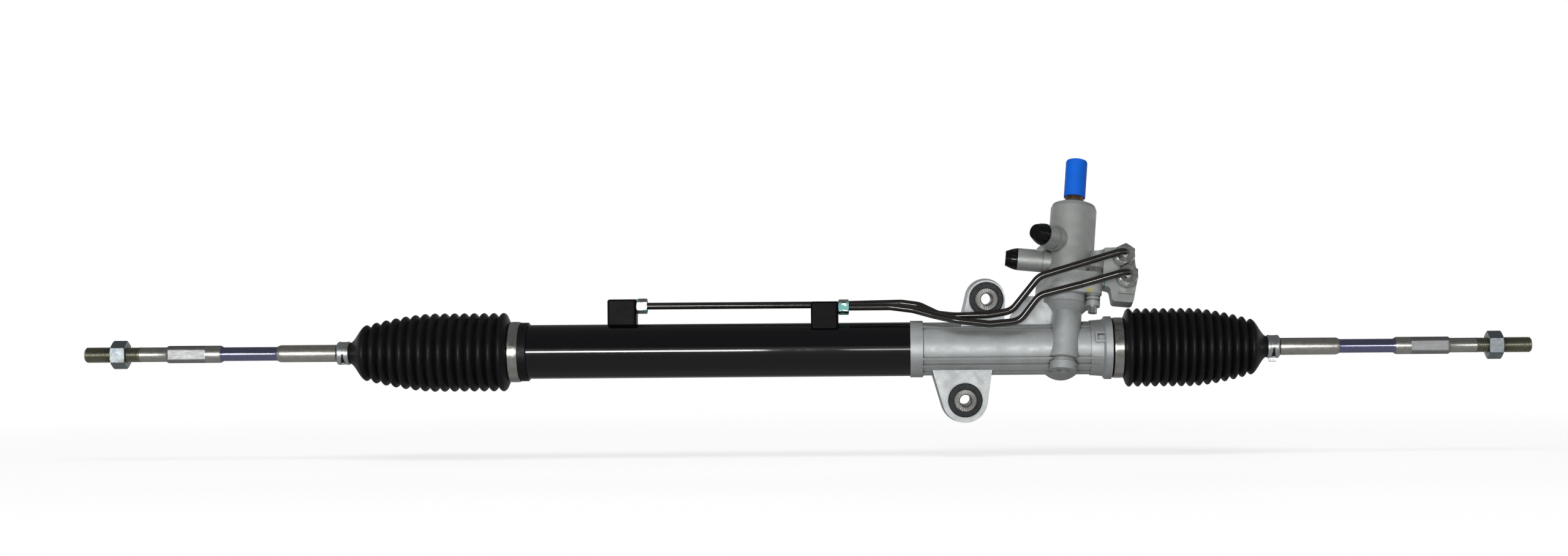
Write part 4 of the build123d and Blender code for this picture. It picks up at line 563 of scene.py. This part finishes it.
def cast_aluminium(name, dull, middle, bright):
    """Blasted casting: fine grain, three-tone mottling, stains, painted corner shade, inspector's
    paint.
    """
    made = Surface(name, middle, metallic=0.6, roughness=0.48)
    mottle = made.noise(scale=34, detail=5)
    tone = made.ramp(mottle, ((0.25, dull), (0.5, middle), (0.78, bright)))
    speckle = made.patches(made.noise(scale=900, detail=2), 0.35, 0.65, 0.3)
    tone = made.mix(speckle, tone, CASTING_SPECKLE)
    stain = made.patches(made.noise(scale=16, detail=6, roughness=0.7), 0.56, 0.74, 0.5)
    tone = made.mix(stain, tone, CASTING_STAIN)
    # Painted shade with some grime: ambient occlusion darkens the inner corners towards a dark colour
    corners = made.tree.nodes.new("ShaderNodeAmbientOcclusion")
    corners.inputs["Distance"].default_value = SHADE_AND_GRIME_REACH
    shade_and_grime = made.remap(corners.outputs["AO"], *SHADE_AND_GRIME_OPENNESS, SHADE_AND_GRIME_COVER, 0.0)
    tone = made.mix(shade_and_grime, tone, SHADE_AND_GRIME_COLOUR)
    front = made.remap(made.split.outputs["Y"], *PAINT_FADE_Y, 1.0, 0.0)
    for (x0, x1), (z0, z1), paint in PAINT_MARKS:
        across = made.window(made.split.outputs["X"], x0, x1, PAINT_EDGE_X)
        up = made.window(made.split.outputs["Z"], z0, z1, PAINT_EDGE_Z)
        broken = made.patches(made.noise(scale=500, detail=3), 0.36, 0.5, 1.0)
        mask = made.maths("MULTIPLY", made.maths("MULTIPLY", across, up), broken)
        tone = made.mix(made.maths("MULTIPLY", mask, front), tone, paint)
    made.link("Base Color", tone)
    made.link("Roughness", made.vary(made.noise(scale=120, detail=3), 0.40, 0.58))
    made.bump(made.noise(scale=1300, detail=2), depth=0.00012, strength=0.5)
    made.bump(made.noise(scale=160, detail=3), depth=0.0003, strength=0.22)
    return made.material


def gloss_black(name, roughness, scuffing, specular):
    """Black paint with a faint orange peel and light scuffs."""
    made = Surface(name, BLACK_PAINT, 0.0, roughness, specular)
    scuffs = made.noise(scale=220, detail=6, roughness=0.7, stretch=(0.25, 1, 1))
    made.link("Roughness", made.remap(scuffs, 0.45, 0.75, roughness, roughness + scuffing))
    rubbed = made.patches(scuffs, 0.62, 0.8, 0.35)
    made.link("Base Color", made.mix(rubbed, BLACK_PAINT, shade(BLACK_PAINT, 5)))
    made.bump(made.noise(scale=260, detail=2), depth=0.00002, strength=0.25)
    return made.material


def pipe_black():
    """Coated pipe, gloss with a brown cast."""
    made = Surface("pipe_coating", PIPE_COAT, metallic=0.0, roughness=0.08, specular=0.8)
    clouds = made.noise(scale=90, detail=4)
    made.link("Base Color", made.ramp(clouds, ((0.3, PIPE_COAT_DARK), (0.7, PIPE_COAT_BROWN))))
    made.link("Roughness", made.vary(made.noise(scale=300, detail=3), 0.07, 0.2))
    made.bump(made.noise(scale=500, detail=2), depth=0.00003, strength=0.3)
    return made.material


def zinc(name, colour=(0.50, 0.51, 0.50), roughness=0.27, paint=None):
    """Bright zinc plate with a slight straw cast in patches, and dabs of an inspector's paint."""
    made = Surface(name, colour, 1.0, roughness)
    straw = tuple(part * cast for part, cast in zip(colour, STRAW_CAST))
    clouds = made.noise(scale=110, detail=4)
    tone = made.ramp(clouds, ((0.28, straw), (0.5, colour), (0.75, shade(colour, 1.18))))
    dirt = made.patches(made.noise(scale=420, detail=5, roughness=0.7), 0.56, 0.75, 0.6)
    tone = made.mix(dirt, tone, shade(straw, 0.4))
    if paint:
        dab = made.patches(made.noise(scale=130, detail=3), 0.50, 0.56, 0.9)
        tone = made.mix(dab, tone, paint)
        made.link("Metallic", made.maths("SUBTRACT", 1.0, dab))
    made.link("Base Color", tone)
    uneven = made.noise(scale=260, detail=3)
    made.link("Roughness", made.vary(uneven, roughness - 0.07, roughness + 0.1))
    made.bump(made.noise(scale=900, detail=2), depth=0.00003, strength=0.4)
    return made.material


def rubber(name, colour=(0.003, 0.003, 0.0034), roughness=0.42):
    """Moulded rubber with a little bloom."""
    made = Surface(name, colour, 0.0, roughness, 0.2)
    bloom = made.noise(scale=60, detail=5)
    made.link("Base Color", made.ramp(bloom, ((0.35, colour), (0.75, shade(colour, 1.9)))))
    uneven = made.noise(scale=400, detail=3)
    made.link("Roughness", made.vary(uneven, roughness - 0.1, roughness + 0.12))
    made.bump(made.noise(scale=1500, detail=2), depth=0.00005, strength=0.4)
    return made.material


def plastic(name, colour, roughness):
    """Moulded plastic with a fine skin."""
    made = Surface(name, colour, 0.0, roughness, 0.25)
    clouds = made.noise(scale=45, detail=4)
    spread = ((0.3, shade(colour, 0.9)), (0.7, shade(colour, 1.08)))
    made.link("Base Color", made.ramp(clouds, spread))
    uneven = made.noise(scale=300, detail=2)
    made.link("Roughness", made.vary(uneven, roughness - 0.05, roughness + 0.08))
    made.bump(made.noise(scale=1200, detail=2), depth=0.00003, strength=0.4)
    return made.material


def steel(name, colour=(0.36, 0.36, 0.35), roughness=0.34):
    """Machined steel with fine turning marks."""
    made = Surface(name, colour, 1.0, roughness)
    clouds = made.noise(scale=70, detail=4)
    spread = ((0.3, shade(colour, 0.82)), (0.7, shade(colour, 1.12)))
    made.link("Base Color", made.ramp(clouds, spread))
    marks = made.noise(scale=500, detail=3, roughness=0.6, stretch=(1, 0.2, 0.2))
    made.link("Roughness", made.vary(marks, roughness - 0.08, roughness + 0.12))
    grooves = made.noise(scale=1800, detail=2, roughness=0.5, stretch=(1, 0.1, 0.1))
    made.bump(grooves, depth=0.00002, strength=0.4)
    return made.material


def rod_metal():
    """Zinc plated rod: polished blue where it is thin, dull on the flats, olive on the thread."""
    made = Surface("rod_metal", ROD_FINISHES[0][1], metallic=1.0, roughness=0.27)
    from_middle = made.maths("ABSOLUTE", made.maths("SUBTRACT", made.split.outputs["X"], MIDDLE_X))
    share = made.maths("DIVIDE", made.maths("SUBTRACT", from_middle, BALL_OFFSET), ROD_TIP)
    colours = [(start / ROD_TIP, colour) for start, colour, _ in ROD_FINISHES]
    glosses = [(start / ROD_TIP, grey(roughness)) for start, _, roughness in ROD_FINISHES]
    tone = made.ramp(share, colours, stepped=True)
    wear = made.patches(made.noise(scale=150, detail=5, roughness=0.65), 0.35, 0.7, 0.35)
    made.link("Base Color", made.mix(wear, tone, ROD_WEAR))
    streaks = made.noise(scale=700, detail=3, roughness=0.6, stretch=(0.3, 1, 1))
    gloss = made.ramp(share, glosses, stepped=True)
    made.link("Roughness", made.maths("ADD", gloss, made.vary(streaks, -0.05, 0.07)))
    grooves = made.noise(scale=260, detail=2, roughness=0.5, stretch=(1, 0.2, 0.2))
    made.bump(grooves, depth=0.00001, strength=0.2)
    return made.material


MATERIALS = {
    "cast_aluminium": cast_aluminium("cast_aluminium", *GEAR_CASTING),
    "valve_casting": cast_aluminium("valve_casting", *VALVE_CASTING),
    "black_paint": gloss_black("black_paint", roughness=0.05, scuffing=0.09, specular=0.5),
    "block_paint": gloss_black("block_paint", roughness=0.4, scuffing=0.08, specular=0.06),
    "pipe": pipe_black(),
    "zinc_steel": zinc("zinc_steel"),
    "marked_zinc": zinc("marked_zinc", (0.48, 0.50, 0.50), 0.3, (0.02, 0.26, 0.22)),
    "dull_zinc": zinc("dull_zinc", (0.25, 0.28, 0.30), 0.42),
    "bright_band": zinc("bright_band", (0.46, 0.455, 0.435), 0.2),
    "clip": zinc("clip", (0.56, 0.60, 0.62), 0.3),
    "rod": rod_metal(),
    "machined_steel": steel("machined_steel"),
    "sleeve_steel": steel("sleeve_steel", (0.20, 0.195, 0.185), 0.42),
    "bronzed_steel": steel("bronzed_steel", (0.22, 0.14, 0.08), 0.4),
    "bearing_aluminium": steel("bearing_aluminium", (0.45, 0.45, 0.45), 0.35),
    "boot_rubber": rubber("boot_rubber"),
    "bush_rubber": rubber("bush_rubber", (0.010, 0.011, 0.013), 0.42),
    "seal_rubber": rubber("seal_rubber", (0.02, 0.018, 0.016), 0.4),
    "bearing_plastic": plastic("bearing_plastic", (0.70, 0.68, 0.61), 0.5),
    "blue_plastic": plastic("blue_plastic", (0.0, 0.105, 0.58), 0.5),
    "black_plastic": plastic("black_plastic", (0.003, 0.003, 0.003), 0.12),
}

# Nodes whose finish isn't that of their material slot
SPECIAL_FINISHES = {
    "valve_housing": "valve_casting",
    "long_cylinder_line": "pipe",
    "short_cylinder_line": "pipe",
    "near_port_block": "block_paint",
    "far_port_block": "block_paint",
    "left_jam_nut": "dull_zinc",
    "right_jam_nut": "dull_zinc",
    "near_block_nut": "marked_zinc",
    "far_block_nut": "marked_zinc",
}


def dress_cad_nodes():
    """Give each CAD node the finish of its material slot."""
    for row in frame["record"]["subparts"]:
        node = row["node"]
        mesh = nodes[node].data
        mesh.materials.clear()
        mesh.materials.append(MATERIALS[SPECIAL_FINISHES.get(node, row["material_slot"])])


def new_piece(name, mesh, material, body):
    """Link a mesh as a piece, which rides on a body if one is given."""
    piece = bpy.data.objects.new(name, mesh)
    bpy.context.scene.collection.objects.link(piece)
    mesh.materials.append(MATERIALS[material])
    if body:
        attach(piece, body)
    return piece


def finish_mesh(work, name, outward=None):
    """Turn a bmesh into a smooth-shaded mesh with its sharp edges kept.

    An open sheet needs outward, which gives the way out at a point."""
    bmesh.ops.recalc_face_normals(work, faces=work.faces)
    if outward is not None:
        first = next(iter(work.faces))
        if first.normal.dot(outward(first.calc_center_median())) < 0:
            bmesh.ops.reverse_faces(work, faces=work.faces)
    mesh = bpy.data.meshes.new(name)
    work.to_mesh(mesh)
    work.free()
    for face in mesh.polygons:
        face.use_smooth = True
    mesh.set_sharp_from_angle(angle=SHARP_ANGLE)
    return mesh


def revolve(place, outline, segments, shape=None, closed=False, skip=None):
    """A bmesh turned from an outline of (station, radius) points about a frame's X axis.

    Shape may move each point: it takes (station, radius, angle) and gives back (station, y, z).
    Angle runs from the frame's Z. Skip takes (station, angle) and leaves out that face."""
    work = bmesh.new()
    rings = []
    for station, radius in outline:
        if radius <= 0:
            rings.append([work.verts.new(place @ Vector((station, 0, 0)))])
            continue
        row = []
        for k in range(segments):
            angle = 2 * math.pi * k / segments
            if shape:
                point = shape(station, radius, angle)
            else:
                point = (station, radius * math.sin(angle), radius * math.cos(angle))
            row.append(work.verts.new(place @ Vector(point)))
        rings.append(row)
    if closed:
        rings.append(rings[0])
        outline = (*outline, outline[0])
    for index, (low, high) in enumerate(zip(rings, rings[1:])):
        middle = (outline[index][0] + outline[index + 1][0]) / 2
        for k in range(segments):
            after = (k + 1) % segments
            if skip and skip(middle, 2 * math.pi * (k + 0.5) / segments):
                continue
            if len(low) == 1:
                work.faces.new((low[0], high[k], high[after]))
            elif len(high) == 1:
                work.faces.new((low[k], low[after], high[0]))
            else:
                work.faces.new((low[k], low[after], high[after], high[k]))
    return work


def crest_radius(index):
    """Outer radius of a crest, which tapers towards the small end."""
    taper = max(0.0, index - BOOT_TAPER_FROM) / (BOOT_CRESTS - 1 - BOOT_TAPER_FROM)
    return BOOT_R - (BOOT_R - BOOT_LAST_R) * taper**BOOT_TAPER_POWER


def bellows_skin(side, clip_station):
    """Outer outline of a boot from its lip to its small end, as (station, radius) points."""
    boot = BOOTS[side]
    pitch = (boot["last"] - boot["first"]) / (BOOT_CRESTS - 1)
    points = [
        (-BAND_HALF - boot["lip"], BOOT_COLLAR_R - LIP_ROUND),
        (-BAND_HALF - boot["lip"] + LIP_ROUND, BOOT_COLLAR_R),
        (-BAND_HALF, BOOT_COLLAR_R),
        (0.0, BOOT_COLLAR_R - BAND_BITE),
        (BAND_HALF, BOOT_COLLAR_R),
    ]
    steps = (BOOT_CRESTS - 1) * RING_STEPS
    for k in range(-RING_STEPS // 4, steps + 1):
        turn = k / RING_STEPS
        wave = 0.5 + 0.5 * math.cos(2 * math.pi * turn)
        radius = crest_radius(max(turn, 0)) - BOOT_DEPTH * (1 - wave**BOOT_ROUND)
        points.append((boot["first"] + turn * pitch, radius))
    start, radius = points[-1]
    end = clip_station - SMALL_COLLAR_HALF
    for k in range(1, CONE_STEPS + 1):
        share = k / CONE_STEPS
        ease = share * share * (3 - 2 * share)
        fall = CONE_STRAIGHT * share + (1 - CONE_STRAIGHT) * ease
        points.append((start + (end - start) * share, radius - (radius - SMALL_COLLAR_R) * fall))
    tip = clip_station + SMALL_COLLAR_HALF
    points.append((clip_station, SMALL_COLLAR_R - BAND_BITE))
    points.append((tip - SMALL_COLLAR_EDGE, SMALL_COLLAR_R))
    points.append((tip, SMALL_COLLAR_R - SMALL_COLLAR_EDGE))
    return points


def cut_outline(points, start, end):
    """The stretch of an outline between two stations, with a point put in at each cut."""
    kept = []
    for (x0, r0), (x1, r1) in zip(points, points[1:]):
        for edge in (start, end):
            if x0 < edge <= x1:
                share = (edge - x0) / (x1 - x0)
                kept.append((edge, r0 + (r1 - r0) * share))
        if start < x1 < end:
            kept.append((x1, r1))
    if start <= points[0][0]:
        kept.insert(0, points[0])
    if end >= points[-1][0] and kept[-1] != points[-1]:
        kept.append(points[-1])
    return kept


def make_boot(side):
    """A boot in three stretches, cut at the middle two of its blend stations."""
    boot = BOOTS[side]
    band = middle_of(f"{side}_boot_band")
    place = place_on(Vector((band.x, 0, RACK_Z)), (OUTWARD[side], 0, 0))
    low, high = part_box(f"{side}_boot")
    collar_end = low.x if side == "left" else high.x
    clip_station = abs(collar_end - band.x) - SMALL_COLLAR_HALF
    skin = bellows_skin(side, clip_station)
    stations = [abs(x - band.x) for x in boot["blend"][1:3]]
    edges = [skin[0][0]] + stations + [skin[-1][0]]
    for index, part in enumerate(("bellows", "middle", "end")):
        outer = cut_outline(skin, edges[index], edges[index + 1])
        inner = [(x, r - BOOT_WALL) for x, r in reversed(outer)]
        name = f"{side}_boot_{part}"
        work = revolve(place, tuple(outer + inner), BOOT_SEGMENTS, closed=True)
        piece = new_piece(name, finish_mesh(work, name), "boot_rubber", None)
        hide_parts(f"{side}_boot")
        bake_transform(piece)


def thicken(piece, wall):
    """Give an open sheet its wall on the inside, and keep the result as its mesh."""
    modifier = piece.modifiers.new("wall", "SOLIDIFY")
    modifier.thickness = wall
    modifier.offset = -1.0
    bpy.context.view_layer.update()
    solid = piece.evaluated_get(bpy.context.evaluated_depsgraph_get())
    mesh = bpy.data.meshes.new_from_object(solid)
    piece.modifiers.clear()
    mesh.name = piece.name
    piece.data = mesh


def extrude_shape(place, outline, depth, name):
    """A closed (y, z) outline in a frame, extruded along the frame's X to both sides."""
    work = bmesh.new()
    low = [work.verts.new(place @ Vector((-depth / 2, y, z))) for y, z in outline]
    high = [work.verts.new(place @ Vector((depth / 2, y, z))) for y, z in outline]
    count = len(outline)
    for k in range(count):
        after = (k + 1) % count
        work.faces.new((low[k], low[after], high[after], high[k]))
    work.faces.new(low)
    work.faces.new(high[::-1])
    bmesh.ops.recalc_face_normals(work, faces=work.faces)
    edges = [edge for edge in work.edges if edge.calc_face_angle(0) > BEVEL_ANGLE]
    bmesh.ops.bevel(work, geom=edges, offset=BEVEL, segments=BEVEL_SEGMENTS, affect="EDGES")
    return finish_mesh(work, name)


def make_band(side):
    """The wide clamp band: rolled edges, and the crimped ear at the back of the boot."""
    low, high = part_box(f"{side}_boot_band")
    radius = (high.z - low.z) / 2
    centre = Vector(((low.x + high.x) / 2, 0, RACK_Z))
    place = place_on(centre, (OUTWARD[side], 0, 0))
    profile = []
    for k in range(STRIP_STEPS + 1):
        across = 2 * k / STRIP_STEPS - 1
        profile.append((across * BAND_HALF, radius - BAND_ROLL * abs(across) ** BAND_ROLL_POWER))
    work = revolve(place, tuple(profile), BOOT_SEGMENTS)
    name = f"{side}_clamp_band"
    mesh = finish_mesh(work, name, lambda p: p - centre)
    piece = new_piece(name, mesh, "bright_band", None)
    thicken(piece, BAND_WALL)
    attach(piece, "housing")
    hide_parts(f"{side}_boot_band")
    name = f"{side}_band_ear"
    place = place_on(Vector((centre.x, radius, RACK_Z)), (1, 0, 0), (0, 1, 0))
    ear = extrude_shape(place, EAR, 2 * (BAND_HALF - EAR_SETBACK), name)
    new_piece(name, ear, "bright_band", "housing")


def clip_radius(station):
    """The strip's outer radius, with a bead along each edge."""
    across = abs(station) / CLIP_HALF
    bead = CLIP_BEAD * math.exp(-(((across - BEAD_PLACE) / BEAD_SPREAD) ** 2))
    return CLIP_R + bead - CLIP_BEAD * across**CLIP_ROLL_POWER


def window_cut(side):
    """How the clip's mesh closes in on its window, and which faces the window leaves out."""

    def below(angle):
        """Degrees below the horizontal, seen from the front."""
        return OUTWARD[side] * (270 - math.degrees(angle) % 360)

    def shape(station, radius, angle):
        drop = below(angle)
        share = max(0.0, min(1.0, (drop - WINDOW_TOP) / (WINDOW_BOTTOM - WINDOW_TOP)))
        half = WINDOW_HALF_TOP + (WINDOW_HALF_BOTTOM - WINDOW_HALF_TOP) * share
        outside = max(WINDOW_TOP - drop, drop - WINDOW_BOTTOM, 0.0)
        half += (WINDOW_COLUMN - half) * min(1.0, outside / WINDOW_EASE)
        if abs(station) <= WINDOW_COLUMN:
            moved = station * half / WINDOW_COLUMN
        else:
            spread = (CLIP_HALF - half) / (CLIP_HALF - WINDOW_COLUMN)
            moved = math.copysign(half + (abs(station) - WINDOW_COLUMN) * spread, station)
        r = clip_radius(moved)
        return moved, r * math.sin(angle), r * math.cos(angle)

    def skip(station, angle):
        return abs(station) < WINDOW_COLUMN and WINDOW_TOP < below(angle) < WINDOW_BOTTOM

    return shape, skip


def make_clip(side):
    """The small spring clip on the boot's end: two beads, a window low on its front, and its tang."""
    outward = OUTWARD[side]
    centre = Vector((BALL_X[side] + outward * CLIP_STATION, 0, RACK_Z))
    # The frame is turned so that the window can face the front on both sides
    place = place_on(centre, (outward, 0, 0), (0, 0, outward))
    profile = []
    for k in range(STRIP_STEPS + 1):
        station = (2 * k / STRIP_STEPS - 1) * CLIP_HALF
        profile.append((station, CLIP_R))
    shape, skip = window_cut(side)
    work = revolve(place, tuple(profile), STRIP_SEGMENTS, shape, skip=skip)
    name = f"{side}_spring_clip"
    piece = new_piece(name, finish_mesh(work, name, lambda p: p - centre), "clip", None)
    thicken(piece, CLIP_WALL)
    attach(piece, f"{side}_rod")
    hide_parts(f"{side}_boot_clip")
    name = f"{side}_clip_tang"
    place = place_on(centre + TANG_SIDE[side] * CLIP_R, (1, 0, 0), TANG_SIDE[side])
    tang = extrude_shape(place, TANG, TANG_WIDTH, name)
    new_piece(name, tang, "clip", f"{side}_rod")


def rod_outline(side):
    """A tie rod's outline from the back of its ball to its tip."""
    points = []
    opening = math.asin(ROD_NECK_R / BALL_R)
    for k in range(BALL_STEPS + 1):
        angle = math.pi - (math.pi - opening) * k / BALL_STEPS
        points.append((BALL_R * math.cos(angle), BALL_R * math.sin(angle)))
    points[0] = (-BALL_R, 0.0)
    points += ROD_BODY
    steps = round((ROD_TIP - THREAD_START) / THREAD_PITCH * THREAD_STEPS)
    for k in range(steps + 1):
        station = THREAD_START + (ROD_TIP - THREAD_START) * k / steps
        radius = NUT_RUN_R if station < NUT_END[side] + NUT_FACE_GAP else THREAD_R
        points.append((station, radius))
    points.append((ROD_TIP, 0.0))
    return tuple(points)


def rod_shape(station, radius, angle):
    """Cuts the thread, the chamfer at the tip and the two flats into the rod."""
    r = radius
    if station >= THREAD_START:
        phase = (station / THREAD_PITCH + angle / (2 * math.pi)) % 1.0
        depth = THREAD_DEPTH * min(1.0, THREAD_FLANK * abs(2 * phase - 1))
        fade = min(1.0, (station - THREAD_START) / THREAD_PITCH)
        taper = max(0.0, station - ROD_TIP + TIP_CHAMFER)
        r = min(radius - depth * fade, radius - taper)
    y, z = r * math.sin(angle), r * math.cos(angle)
    if FLATS[0] + FLATS_EDGE < station < FLATS[1] - FLATS_EDGE:
        y = max(-FLATS_HALF, min(FLATS_HALF, y))
    return station, y, z


def make_rod(side):
    """A tie rod with its ball, steps, spanner flats and rolled thread."""
    place = place_on(Vector((BALL_X[side], 0, RACK_Z)), (OUTWARD[side], 0, 0))
    work = revolve(place, rod_outline(side), ROD_SEGMENTS, rod_shape)
    name = f"{side}_tie_rod_turned"
    piece = new_piece(name, finish_mesh(work, name), "rod", f"{side}_rod")
    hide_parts(f"{side}_tie_rod")


def sleeve_shape(end):
    """Presses radial teeth into a sleeve's two end faces."""

    def shape(station, radius, angle):
        on_face = SLEEVE_BORE_R + SLEEVE_EDGE < radius < SLEEVE_R - SLEEVE_EDGE / 2
        if abs(abs(station) - end) < SLEEVE_EDGE / 10 and on_face:
            phase = (angle * SLEEVE_TEETH / (2 * math.pi)) % 1.0
            station -= math.copysign(SLEEVE_TOOTH * abs(2 * phase - 1), station)
        return station, radius * math.sin(angle), radius * math.cos(angle)

    return shape


def make_sleeve(name):
    """A bush's steel sleeve with grip teeth on its faces."""
    node = f"{name}_bush_sleeve"
    low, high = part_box(node)
    centre = (low + high) / 2
    end = (high.y - low.y) / 2
    bore, outer, edge = SLEEVE_BORE_R, SLEEVE_R, SLEEVE_EDGE
    outline = (
        (-end + edge, bore),
        (-end, bore + edge),
        (-end, bore + SLEEVE_RIM),
        (-end, outer - SLEEVE_RIM),
        (-end, outer - edge),
        (-end + edge, outer),
        (end - edge, outer),
        (end, outer - edge),
        (end, outer - SLEEVE_RIM),
        (end, bore + SLEEVE_RIM),
        (end, bore + edge),
        (end - edge, bore),
    )
    place = place_on(centre, (0, 1, 0))
    work = revolve(place, outline, SLEEVE_SEGMENTS, sleeve_shape(end), closed=True)
    title = f"{name}_toothed_sleeve"
    piece = new_piece(title, finish_mesh(work, title), "sleeve_steel", "housing")
    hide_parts(node)


bpy.context.scene.view_settings.view_transform = "Standard"
make_camera()
make_world()
make_lights()
make_floor()
dress_cad_nodes()
for side in OUTWARD:
    make_boot(side)
    make_band(side)
    make_clip(side)
    make_rod(side)
for name in ("lower", "upper"):
    make_sleeve(name)
